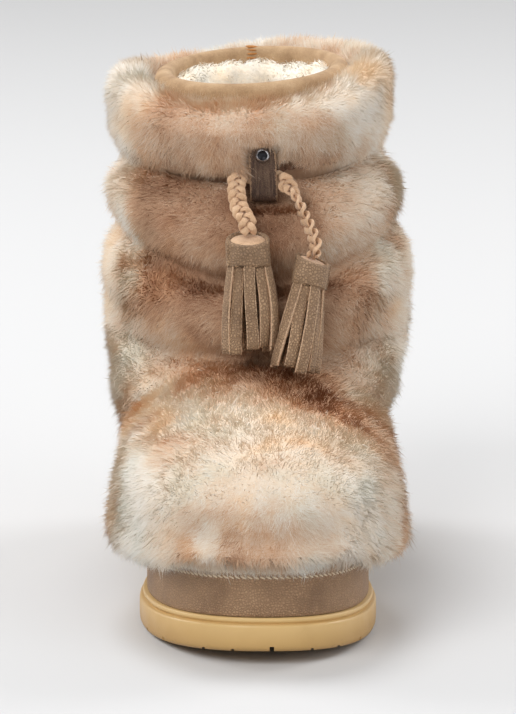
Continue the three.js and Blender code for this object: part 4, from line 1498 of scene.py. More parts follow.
@dataclass
class Studio:
    """Floor, lights and camera."""

    elevation: float = 12.5
    distance: float = 2.3
    target: tuple[float, float, float] = (0.0, 0.0, 0.1)
    focal_length: float = 5380.0  # in pixels of the photo
    photo_height: float = 714.0  # in pixels
    floor_size: float = 14.0

    def set_camera(self) -> None:
        """Puts the camera where the photo was taken from."""
        data = bpy.data.cameras.new("camera")
        data.sensor_width = 36.0
        data.lens = self.focal_length / self.photo_height * data.sensor_width
        data.clip_start, data.clip_end = 0.05, 100.0
        data.dof.use_dof = False
        camera = bpy.data.objects.new("camera", data)
        raised = math.radians(self.elevation)
        back = Vector((0.0, -math.cos(raised), math.sin(raised)))
        camera.location = Vector(self.target) + back * self.distance
        camera.rotation_mode = "QUATERNION"
        camera.rotation_quaternion = (-back).to_track_quat("-Z", "Y")
        bpy.context.scene.collection.objects.link(camera)
        bpy.context.scene.camera = camera

    def set_lights(self) -> None:
        """A large soft light at the left, a fill, two lights behind for pale edges, and a pale room."""
        lights = (
            ("key", (-1.0, -1.6, 1.8), 1.6, 31.0),
            ("fill", (1.7, -1.4, 0.9), 1.6, 10.0),
            ("rim left", (-1.5, 0.9, 1.0), 0.9, 14.0),
            ("rim right", (1.5, 0.9, 1.1), 0.9, 14.0),
            ("overhead", (-0.3, 0.7, 2.3), 1.2, 24.0),
        )
        for name, spot, size, power in lights:
            data = bpy.data.lights.new(name, "AREA")
            data.shape = "DISK"
            data.size = size
            data.energy = power
            lamp = bpy.data.objects.new(name, data)
            lamp.location = spot
            lamp.rotation_mode = "QUATERNION"
            lamp.rotation_quaternion = (Vector(self.target) - Vector(spot)).to_track_quat("-Z", "Y")
            bpy.context.scene.collection.objects.link(lamp)
        world = bpy.data.worlds.new("room")
        world.use_nodes = True
        sky = world.node_tree.nodes["Background"]
        sky.inputs["Color"].default_value = (1.0, 0.99, 0.98, 1.0)
        sky.inputs["Strength"].default_value = 0.44
        bpy.context.scene.world = world
        bpy.context.scene.view_settings.view_transform = "Standard"

    def lay_floor(self, material: bpy.types.Material) -> None:
        """Lays the plain pale floor.

        Args:
            material: its finish.
        """
        bm = bmesh.new()
        bmesh.ops.create_grid(bm, x_segments=2, y_segments=2, size=self.floor_size / 2)
        mesh = bpy.data.meshes.new("floor")
        bm.to_mesh(mesh)
        bm.free()
        mesh.materials.append(material)
        floor = bpy.data.objects.new("floor", mesh)
        bpy.context.scene.collection.objects.link(floor)


@dataclass
class Outsole:
    """Moulded gum rubber sole with a ledge, a groove and tread slots."""

    slot_width: float = 1.7
    slot_depth: float = 2.2
    # the slots in the front edge: place, and share of the depth
    lengthwise: tuple[tuple[float, float], ...] = ((-22, 0.5), (-10, 0.5), (6, 1.0), (22.5, 0.5), (33.5, 0.5))
    across: tuple[float, ...] = (22, 44, 66, 150, 170, 190, 210, 230)
    lengthwise_from: float = 0.56

    def folded(self, ring: np.ndarray) -> np.ndarray:
        """A ring brought in to the foot's middle line, which closes the skin over it."""
        return (ring + np.roll(ring[::-1], 1, axis=0)) / 2

    def slots(self, last: Last) -> bpy.types.Object:
        """The cutters of the tread: one bar for each slot.

        Args:
            last: the foot.

        Returns:
            One piece with all the bars, which the sole is cut with.
        """
        bars = []
        reach = last.length + 1
        for x, deep in self.lengthwise:
            share = np.linspace(self.lengthwise_from, 1, 9)
            roof = last.underside(share) + self.slot_depth * deep
            bars.append(
                np.stack(
                    [
                        np.column_stack([np.full(9, x + dx), share * reach, roof * top - 5 * (1 - top)])
                        for dx, top in (
                            (-0.7 * deep - 0.2, 0), (0.7 * deep + 0.2, 0), (0.7 * deep + 0.2, 1),
                            (-0.7 * deep - 0.2, 1)
                        )
                    ],
                    axis=1
                )
            )
        for s in self.across:
            roof = float(last.underside(np.array(s / last.length))) + self.slot_depth
            wide = np.linspace(-0.55, 0.55, 5) * last.ball
            bars.append(
                np.stack(
                    [
                        np.column_stack([wide, np.full(5, s + ds), np.full(5, z)])
                        for ds, z in (
                            (-self.slot_width / 2, -5.0), (self.slot_width / 2, -5.0),
                            (self.slot_width / 2, roof), (-self.slot_width / 2, roof)
                        )
                    ],
                    axis=1
                )
            )
        bm = joined(capped(skin(bar)) for bar in bars)
        mesh = bpy.data.meshes.new("slots")
        bm.to_mesh(mesh)
        bm.free()
        cutter = bpy.data.objects.new("slots", mesh)
        bpy.context.scene.collection.objects.link(cutter)
        return cutter

    def build(self, last: Last, finish: Finishes) -> bpy.types.Object:
        """Makes the sole.

        Args:
            last: the foot.
            finish: the finishes.

        Returns:
            The piece.
        """
        low, high = last.ring(-2.2, 0, last.underside), last.ring(-2, 0)
        rings = [
            self.folded(low), mix(self.folded(low), low, 0.5), low, last.ring(-1.6, 0.15, last.underside),
            last.ring(-0.5, 0.7, last.underside), last.ring(-0.1, 1.6, last.underside),
            last.ring(0, 2.8, last.underside), last.ring(0.05, -5.5, last.wall),
            last.ring(0, -1.4, last.wall), last.ring(-0.25, -0.5, last.wall),
            last.ring(-0.8, -0.1, last.wall), last.ring(-1.7, 0.0, last.wall),
            last.ring(-2.2, 0.25, last.wall), last.ring(-2.1, 0.7, last.wall),
            last.ring(-1.6, 0.95, last.wall), last.ring(-1.4, 1.4, last.wall), last.ring(-1.4, -0.7),
            last.ring(-1.6, -0.25), high, mix(high, self.folded(high), 0.5), self.folded(high),
        ]
        bm = skin(np.array(rings))
        sole = finished("gum_outsole", bm, [finish.gum], 50)
        cutter = self.slots(last)
        cut = sole.modifiers.new("tread", "BOOLEAN")
        cut.object = cutter
        cut.operation = "DIFFERENCE"
        cut.solver = "EXACT"
        cut.use_self = True
        bpy.context.view_layer.update()
        shaped = bpy.data.meshes.new_from_object(sole.evaluated_get(bpy.context.evaluated_depsgraph_get()))
        sole.modifiers.clear()
        sole.data = shaped
        sole.data.name = "gum_outsole"
        bpy.data.objects.remove(cutter)
        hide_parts("outsole")
        return sole


@dataclass
class Rand:
    """The leather strip round the foot, and its two rows of slanted stitches."""

    pitch: float = 2.6
    rows: tuple[float, float] = (18.9, 16.7)
    stitch_length: float = 2.9
    stitch_width: float = 0.75
    slant: float = 0.42

    def build(self, last: Last, finish: Finishes) -> list[bpy.types.Object]:
        """Makes the strip and its stitches.

        Args:
            last: the foot.
            finish: the finishes.

        Returns:
            The pieces.
        """
        inset, wall = RAND_INSET, RAND_THICKNESS
        rings = [
            last.ring(-inset - wall, GAP), last.ring(-inset, GAP), last.ring(-inset + 0.15, 1.2),
            last.ring(-inset + 0.1, 5.0), last.ring(-inset + 0.1, 9.0),
            last.ring(-inset, RAND_HEIGHT * 0.55), last.ring(-inset - 0.05, self.rows[1] - 0.9),
            last.ring(-inset - 0.3, self.rows[1]),
            last.ring(-inset - 0.12, (self.rows[0] + self.rows[1]) / 2),
            last.ring(-inset - 0.35, self.rows[0]), last.ring(-inset - 0.3, self.rows[0] + 0.8),
            last.ring(-inset - 0.5, RAND_HEIGHT - 0.4), last.ring(-inset - 0.9, RAND_HEIGHT),
            last.ring(-inset - wall, RAND_HEIGHT),
        ]
        strip = finished("leather_rand", skin(np.array(rings), close_along=True), [finish.rand], 55)
        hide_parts("rand")
        return [strip, self.stitches(last, finish)]

    def stitches(self, last: Last, finish: Finishes) -> bpy.types.Object:
        """The two rows, each stitch a small rounded thread that slants.

        Args:
            last: the foot.
            finish: the finishes.

        Returns:
            The stitches as one piece.
        """
        bm = bmesh.new()
        for number, up in enumerate(self.rows):
            ring = placed(last.ring(-RAND_INSET - 0.1, up)) / MM
            closed = np.vstack([ring, ring[:1]])
            run = steps_along(closed)
            count = round(run[-1] / self.pitch)
            at = (np.arange(count) + 0.5 * number) * run[-1] / count
            spot = spots_along(closed, run, at)
            ahead = spots_along(closed, run, (at + 1) % run[-1])
            lean = self.slant if number == 0 else -self.slant
            for here, there in zip(spot, ahead):
                along = Vector(there - here).normalized()
                out = along.cross(Vector((0, 0, 1))).normalized()
                up_way = out.cross(along).normalized()
                if out.dot(Vector((here[0], here[1], 0))) < 0:
                    out = -out
                way = (along * math.cos(lean) + up_way * math.sin(lean)).normalized()
                side = way.cross(out).normalized()
                turned = Matrix((way, side, out)).transposed().to_4x4()
                shape = Matrix.Diagonal(
                    (self.stitch_length / 2 * MM, self.stitch_width / 2 * MM, self.stitch_width / 2 * MM, 1)
                )
                place = Matrix.Translation(Vector(here) * MM) @ turned @ shape
                bmesh.ops.create_uvsphere(bm, u_segments=7, v_segments=5, radius=1.0, matrix=place)
        bmesh.ops.recalc_face_normals(bm, faces=bm.faces)
        piece = finished("rand_stitches", bm, [finish.thread], 80)
        return piece


THROAT = (148.0, 103.0)  # s and z where the crease behind the dome starts
CREASE_FOOT = (124.0, 40.0)  # and where it ends, low at the sides
CREASE_SHARE = 0.1  # how much narrower the boot is in the crease
ANKLE_SHARE = 0.16  # how much wider the fur makes the ankle
TAB_DIP = 4.5  # how much lower the high roll is behind the tab
LOOP_DIP = 3.2  # and under the side loops


def fur_block(last: Last, rows: int) -> np.ndarray:
    """The pile's surface from the rand to the cord's groove.

    Args:
        last: the foot.
        rows: how many rows of points.

    Returns:
        A block of points x, s, z.
    """
    into_groove = Section(120.6, -1, 52, (175, 179, 179))
    hem = [last.ring(2.0, RAND_HEIGHT - 0.4), last.ring(FRINGE_REACH, RAND_HEIGHT - 2)]
    given = [*hem, *(last.level(row) for row in (*FUR_SECTIONS, into_groove))]
    share = np.linspace(0, 1, rows)
    block = curve_through(np.array(given), share)
    (throat_s, throat_z), (foot_s, foot_z) = THROAT, CREASE_FOOT
    tall = np.clip((block[..., 2] - foot_z) / (throat_z - foot_z), 0, 1)
    near = (
        bump((block[..., 1] - mix(foot_s, throat_s, tall)) / 11.0)
        * smooth((throat_z + 6 - block[..., 2]) / 8)
    )
    block[..., 0] *= 1 - near * CREASE_SHARE
    ankle = bump((block[..., 2] - 68) / 34) * smooth((128 - block[..., 1]) / 26)
    block[..., 0] *= 1 + ankle * ANKLE_SHARE
    hem_share = 1 / (len(given) - 1)
    low = (smooth(1 - (share - hem_share) / 0.1) * smooth(share / hem_share))[:, None]
    toe = smooth((block[..., 1] - 226) / 26) * smooth((48 - np.abs(block[..., 0] - 6)) / 16)
    sides = smooth((block[..., 1] - 150) / 30)
    block[..., 2] += low * np.maximum(TOE_HEM_LIFT * toe, SIDE_HEM_LIFT * sides)
    tab = smooth((16 - np.abs(block[..., 0] - TAB_MIDDLE - 5)) / 6) * smooth((block[..., 1] - 117.5) / 5)
    block[..., 2] -= TAB_DIP * tab * smooth((block[..., 2] - 163) / 8)
    loop = smooth((17 - np.abs(block[..., 1] - LOOP_S)) / 7) * smooth((block[..., 2] - 166) / 8)
    block[..., 2] -= LOOP_DIP * loop * smooth((np.abs(block[..., 0]) - 52) / 4)
    return block


def sunk(block: np.ndarray, depth: np.ndarray | float, flow: Flow = Flow.AGAINST_ROWS) -> np.ndarray:
    """A block of points moved in under the pile's surface by a depth.

    Args:
        block: the points.
        depth: how deep, once or for each row.
        flow: the way that the block's hairs are combed.

    Returns:
        The moved points.
    """
    placed_normal = Pelt(block, flow).normal
    own = np.stack([placed_normal[..., 0], -placed_normal[..., 1], placed_normal[..., 2]], axis=-1)
    return block - own * np.asarray(depth)[..., None]


@dataclass
class Upper:
    """The hollow wall of wool and lining, and the fur on it."""

    undercoat_depth: float = 2.5
    rows: int = 76

    def build_wall(self, last: Last, finish: Finishes) -> bpy.types.Object:
        """Makes the wall: outside undercoat, neck, lining and foot, as one closed skin.

        Args:
            last: the foot.
            finish: the finishes.

        Returns:
            The piece.
        """
        pile = fur_block(last, self.rows)
        depth = np.full(self.rows, self.undercoat_depth)
        depth[0] = 0.6
        wool = sunk(pile, depth[:, None])
        hem = [
            last.ring(-WALL_INSET, GAP), last.ring(-WALL_INSET, RAND_HEIGHT * 0.5),
            last.ring(-WALL_INSET, RAND_HEIGHT + GAP + 0.1),
            last.ring(-RAND_INSET + 0.5, RAND_HEIGHT + GAP + 0.1),
            last.ring(-RAND_INSET + 0.9, RAND_HEIGHT - 0.8),
        ]
        neck = [last.level(row) for row in NECK_SECTIONS]
        cavity = curve_through(np.array([last.level(row) for row in CAVITY_SECTIONS]), np.linspace(0, 1, 40))
        inset = WALL_INSET + WALL_THICKNESS
        foot = [last.ring(1 - inset, RAND_HEIGHT), last.ring(-inset, GAP)]
        bm = skin(np.array([*hem, *wool, *neck, *cavity, *foot]), close_along=True)
        inside_from = len(hem) + len(wool) + len(neck) - 1
        total = len(hem) + len(wool) + len(neck) + len(cavity) + len(foot)
        uv = bm.loops.layers.uv["UVMap"]
        for face in bm.faces:
            row = sum(loop[uv].uv.y for loop in face.loops) / len(face.loops) * total
            face.material_index = 1 if row > inside_from else 0
        wall = finished("fur_upper_wall", painted(bm, FUR_TONES), [finish.wool, finish.lining], 70)
        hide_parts("upper")
        return wall

    def grow_fur(self, last: Last, finish: Finishes) -> list[bpy.types.Object]:
        """Grows the fur in pieces, from the foot to the groove.

        Args:
            last: the foot.
            finish: the finishes.

        Returns:
            The pieces.
        """
        pelt = Pelt(fur_block(last, 150))
        lengths = (
            Patch(6, 126, 172, 14, 0.7), Patch(6, 150, 130, 20, 0.7), Patch(20, 146, 132, 14, 0.7),
            Patch(-34, 128, 142, 9, 0.8), Patch(40, 116, 141, 9, 0.8), Patch(14, 126, 175, 8, 0.75),
            Patch(-55, LOOP_S, 176, 9, 0.55), Patch(55, LOOP_S, 176, 9, 0.55),
        )
        grower = FurGrower(pelt, FUR_TONES, lengths)
        coats = (
            ("fur_foot_low_pile", Coat(120000, 5600, (0.0, 0.2125), 11, relief=0.07)),
            (
                "fur_foot_low_tips",
                Coat(5000, 900, (0.0, 0.2125), 41, True, 8.6, 3.2, 0.24, 2.2, 0.3, 0.85, 0.8)
            ),
            ("fur_foot_top_pile", Coat(140000, 6000, (0.2125, 0.484), 12, width=0.3, lie=1.0, relief=0.05)),
            (
                "fur_foot_top_tips",
                Coat(5000, 900, (0.2125, 0.484), 42, True, 8.2, 3.2, 0.22, 2.2, 0.3, 0.95, 0.9)
            ),
            ("fur_low_roll_pile", Coat(115000, 4800, (0.484, 0.747), 13)),
            (
                "fur_low_roll_tips",
                Coat(5000, 700, (0.484, 0.747), 43, True, 8.2, 3.2, 0.24, 2.2, 0.3, 0.82, 0.9)
            ),
            ("fur_high_roll_pile", Coat(100000, 4200, (0.747, 1.0), 14)),
            (
                "fur_high_roll_tips",
                Coat(5000, 600, (0.747, 1.0), 44, True, 8.2, 3.2, 0.24, 2.2, 0.3, 0.82, 0.9)
            ),
        )
        pieces = []
        for name, coat in coats:
            piece = grower.grow(name, coat, finish.fur, BASE_TONE)
            pieces.append(piece)
        return pieces

    def line(self, last: Last, finish: Finishes) -> list[bpy.types.Object]:
        """Makes the roll of fleece that fills the collar, and its curls.

        Args:
            last: the foot.
            finish: the finishes.

        Returns:
            The pieces.
        """
        rows = (
            (-1.6, 204), (-0.2, 207.6), (2.8, 208.8), (6.2, 207.6), (9.2, 204.2), (10.6, 198), (9.2, 190.5),
            (4.6, 185),
            (-1.5, 182.5), (-4.0, 184),
        )  # how far inside the collar's inner edge, and the height
        block = np.array([last.oval(105.9 - inside, 12.1 + inside, 35.9 - inside, z) for inside, z in rows])
        block = curve_through(block, np.linspace(0, 1, 36))
        lumps = Drift(81, 15).at(block) + 0.5 * Drift(82, 7).at(block)
        block = sunk(block, lumps * 2.2, Flow.WITH_ROWS)
        roll = finished("fleece_roll", skin(block, close_along=True), [finish.lining], 70)
        grower = FurGrower(Pelt(block, Flow.WITH_ROWS, -1.0), (), ())
        coat = Coat(
            21000, 1500, (0.15, 0.8), 21, True, 4.2, 0.6, 0.5, 1.6, 0.4, 1.1, 2.2, 0.0, 0.3, relief=0.05
        )
        curls = grower.grow("fleece_curls", coat, finish.fleece, 0.1)
        return [roll, curls]


@dataclass
class Insole:
    """The fleece-covered board."""

    thickness: float = 4.0

    def build(self, last: Last, finish: Finishes) -> list[bpy.types.Object]:
        """Makes the board and its fleece.

        Args:
            last: the foot.
            finish: the finishes.

        Returns:
            The pieces.
        """
        inset = WALL_INSET + WALL_THICKNESS + 0.4
        fold = Outsole().folded
        low, high = last.ring(-inset, GAP), last.ring(-inset - 2, self.thickness + GAP)
        rings = [
            fold(low), low, last.ring(-inset, self.thickness - 1), last.ring(-inset - 0.7, self.thickness),
            high, mix(high, fold(high), 0.4), fold(high)
        ]
        board = finished("fleece_insole", skin(np.array(rings)), [finish.lining], 60)
        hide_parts("insole")
        block = np.array([mix(high, fold(high), t) for t in np.linspace(0.03, 0.97, 24)])
        pelt = Pelt(block)
        pelt.normal = np.broadcast_to([0.0, 0.0, 1.0], pelt.normal.shape)
        pelt.around = unit(np.cross(pelt.normal, pelt.comb))
        coat = Coat(
            6000, 800, (0.0, 1.0), 31, True, length=5.0, depth=0.2, width=0.5, spread=1.9, clump=0.6,
            lie=0.8, swirl=2.5, droop=0.0, curl=0.25
        )
        pile = FurGrower(pelt, (), ()).grow("insole_pile", coat, finish.fleece, 0.15)
        return [board, pile]


@dataclass
class Cuff:
    """The fur band turned down over the top, with a dip at the front for the tab."""

    notch_front: float = 125.6
    notch_half: float = 8.5
    notch_top: float = 194.0
    front_drop: float = 4.5  # the top's front stands this much lower, under the binding
    loop_window: float = 3.5
    back_drop: float = 3.6  # and its back at the outer side
    cord_window: float = 5.0  # the hem is this much higher beside the tab, where the cord shows

    def dipped(self, block: np.ndarray) -> np.ndarray:
        """Presses the band in behind the tab.

        Args:
            block: the band's outside.

        Returns:
            The pressed points.
        """
        block = block.copy()
        aside = block[..., 0] - TAB_MIDDLE
        aside = np.maximum(aside, -1.3 * aside)
        near = smooth((self.notch_half + 3 - aside) / 5) * smooth((self.notch_top - block[..., 2]) / 6)
        block[..., 1] = np.where(
            block[..., 1] > self.notch_front, mix(block[..., 1], self.notch_front, near), block[..., 1]
        )
        front = smooth((block[..., 1] - 80) / 35)
        block[..., 2] -= self.front_drop * front * smooth((block[..., 2] - 196) / 12)
        aside = bump((block[..., 0] - 15.5) / 13) * front * smooth((192 - block[..., 2]) / 8)
        block[..., 2] += self.cord_window * aside
        loop = smooth((18 - np.abs(block[..., 1] - LOOP_S)) / 8) * smooth((192 - block[..., 2]) / 8)
        block[..., 2] += self.loop_window * loop * smooth((np.abs(block[..., 0]) - 40) / 8)
        behind = (
            smooth((45 - block[..., 1]) / 35) * smooth((14 - block[..., 0]) / 36)
            * smooth((block[..., 2] - 200) / 10)
        )
        block[..., 2] -= self.back_drop * behind
        block[..., 0] -= 0.8
        return block

    def build(self, last: Last, finish: Finishes) -> list[bpy.types.Object]:
        """Makes the band and grows its fur.

        Args:
            last: the foot.
            finish: the finishes.

        Returns:
            The pieces.
        """
        outside = self.dipped(
            curve_through(np.array([last.level(row) for row in CUFF_OUTSIDE]), np.linspace(0, 1, 60))
        )
        depth = 2.5 * np.sin(math.pi * np.clip(np.linspace(0.06, 0.97, 60), 0, 1)) ** 0.4
        wool = sunk(outside, depth[:, None], Flow.WITH_ROWS)
        inside = [last.level(row) for row in CUFF_INSIDE]
        band = finished(
            "fur_cuff_band", painted(skin(np.array([*wool, *inside]), close_along=True), FUR_TONES),
            [finish.wool], 70
        )
        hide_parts("cuff")
        lengths = (
            Patch(TAB_MIDDLE, 128, 184, 7.5, 0.6, 0.8), Patch(TAB_MIDDLE, 130, 193, 6, 0.35),
            Patch(15, 127, 184, 7, 0.75), Patch(-9, 130, 182, 6, 1.2), Patch(-56, LOOP_S, 184, 10, 0.6),
            Patch(56, LOOP_S, 184, 10, 0.6)
        )
        grower = FurGrower(Pelt(outside, Flow.WITH_ROWS), FUR_TONES, lengths)
        coats = (
            ("fur_cuff_pile", Coat(130000, 5400, (0.04, 1.0), 15, length=6.6, depth=3.0, swirl=0.6)),
            ("fur_cuff_tips", Coat(5000, 800, (0.08, 1.0), 45, True, 7.6, 3.0, 0.24, 2.2, 0.3, 0.82, 0.8)),
        )
        pieces = [band]
        for name, coat in coats:
            fur = grower.grow(name, coat, finish.fur, BASE_TONE)
            pieces.append(fur)
        return pieces


@dataclass
class Binding:
    """The suede strip folded over the collar's edge, and its short seam at the back."""

    wall: float = 4.5
    strip: float = 1.5

    def build(self, last: Last, finish: Finishes) -> list[bpy.types.Object]:
        """Makes the strip and the seam.

        Args:
            last: the foot.
            finish: the finishes.

        Returns:
            The pieces.
        """
        outer, inner = self.wall + GAP + self.strip, -GAP - self.strip
        rows = (
            (outer, 206.5), (outer + 0.1, 209.0), (outer, 211.6), (self.wall + 1.0, 213.5),
            (self.wall - 0.6, 214.6), (self.wall / 2, 215.0), (0.7, 214.8), (-0.9, 213.9),
            (inner + 0.2, 212.2), (inner, 210.6), (inner, 207.0), (inner, 203.0), (-GAP, 203.0),
            (-GAP, 212.3), (self.wall + GAP, 212.3), (self.wall + GAP, 206.5),
        )
        rings = [last.oval(105.9 + out, 12.1 - out, 35.9 + out, z) for out, z in rows]
        strip = finished("suede_binding", skin(np.array(rings), close_along=True), [finish.binding], 60)
        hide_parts("collar_binding")
        return [strip, self.seam(finish)]

    def seam(self, finish: Finishes) -> bpy.types.Object:
        """The seam's stitches over the strip at the back.

        Args:
            finish: the finishes.

        Returns:
            The piece.
        """
        bm = bmesh.new()
        for k, (s, z) in enumerate(
            (
                (8.4, 214.3), (9.9, 215.1), (11.4, 214.9), (12.9, 213.9), (13.9, 212.3), (14.1, 210.5),
                (14.1, 208.7)
            )
        ):
            here = Vector(placed(np.array([0.4 * (-1) ** k, s, z])))
            shape = Matrix.Diagonal((2.6 * MM, 0.45 * MM, 0.45 * MM, 1))
            place = Matrix.Translation(here) @ Matrix.Rotation(0.2 * (-1) ** k, 4, "Z") @ shape
            bmesh.ops.create_uvsphere(bm, u_segments=8, v_segments=6, radius=1.0, matrix=place)
        piece = finished("binding_seam", bm, [finish.orange_thread], 80)
        return piece


@dataclass
class Braid:
    """A flat braid of three thongs along a path."""

    width: float = 6.6
    thickness: float = 3.4
    pitch: float = 12.0
    thong_width: float = 3.1
    thong_thickness: float = 1.5

    def thongs(self, path: np.ndarray, face: np.ndarray, start: float = 0.0) -> list[np.ndarray]:
        """The three thongs' skins.

        Args:
            path: the braid's middle line, closely spaced.
            face: the way that its broad side faces, at each point.
            start: where in its pattern it starts, in radians.

        Returns:
            A block of points for each thong.
        """
        run = steps_along(path)
        along = unit(np.gradient(path, axis=0))
        across = unit(np.cross(along, face))
        out = unit(np.cross(across, along))
        out *= np.sign(np.sum(out * face, axis=-1, keepdims=True))
        blocks = []
        for k in range(3):
            phase = start + 2 * math.pi * (run / self.pitch + k / 3)
            aside = (self.width - self.thong_width) / 2 * np.sin(phase)
            lift = (self.thickness - self.thong_thickness) / 2 * np.sin(2 * phase)
            line = path + across * aside[:, None] + out * lift[:, None]
            ragged = 1 + 0.2 * Drift(91 + k, 1.3).at(line)
            blocks.append(sweep(line, out, self.thong_width * ragged, self.thong_thickness * ragged, 8))
        return blocks


END_BRAID = Braid(8.2, 3.9, 12.5, 2.9, 1.35)


@dataclass
class Drawcord:
    """The braid in the groove under the cuff."""

    front: float = 120.9
    back: float = -0.7
    half: float = 52.2
    z: float = 181.8
    fine_steps: int = 2001
    steps: int = 361

    def build(self, finish: Finishes) -> bpy.types.Object:
        """Makes the cord round the shaft.

        Args:
            finish: the finishes.

        Returns:
            The piece.
        """
        braid = Braid()
        middle, deep = (self.front + self.back) / 2, (self.front - self.back) / 2
        turns = np.linspace(0, 2 * math.pi, self.fine_steps)
        level = np.full(self.fine_steps, self.z)
        fine = np.column_stack([self.half * np.sin(turns), middle + deep * np.cos(turns), level])
        run = steps_along(fine)
        braid.pitch = run[-1] / round(run[-1] / braid.pitch)
        turn = np.interp(np.linspace(0, run[-1], self.steps), run, turns)
        level = np.full(self.steps, self.z)
        path = np.column_stack([self.half * np.sin(turn), middle + deep * np.cos(turn), level])
        face = np.column_stack([np.sin(turn) / self.half, np.cos(turn) / deep, np.zeros(self.steps)])
        parts = [skin(block[:-1], close_along=True) for block in braid.thongs(path, unit(face))]
        cord = finished("braided_drawcord", joined(parts), [finish.cord], 60)
        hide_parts("drawcord")
        return cord


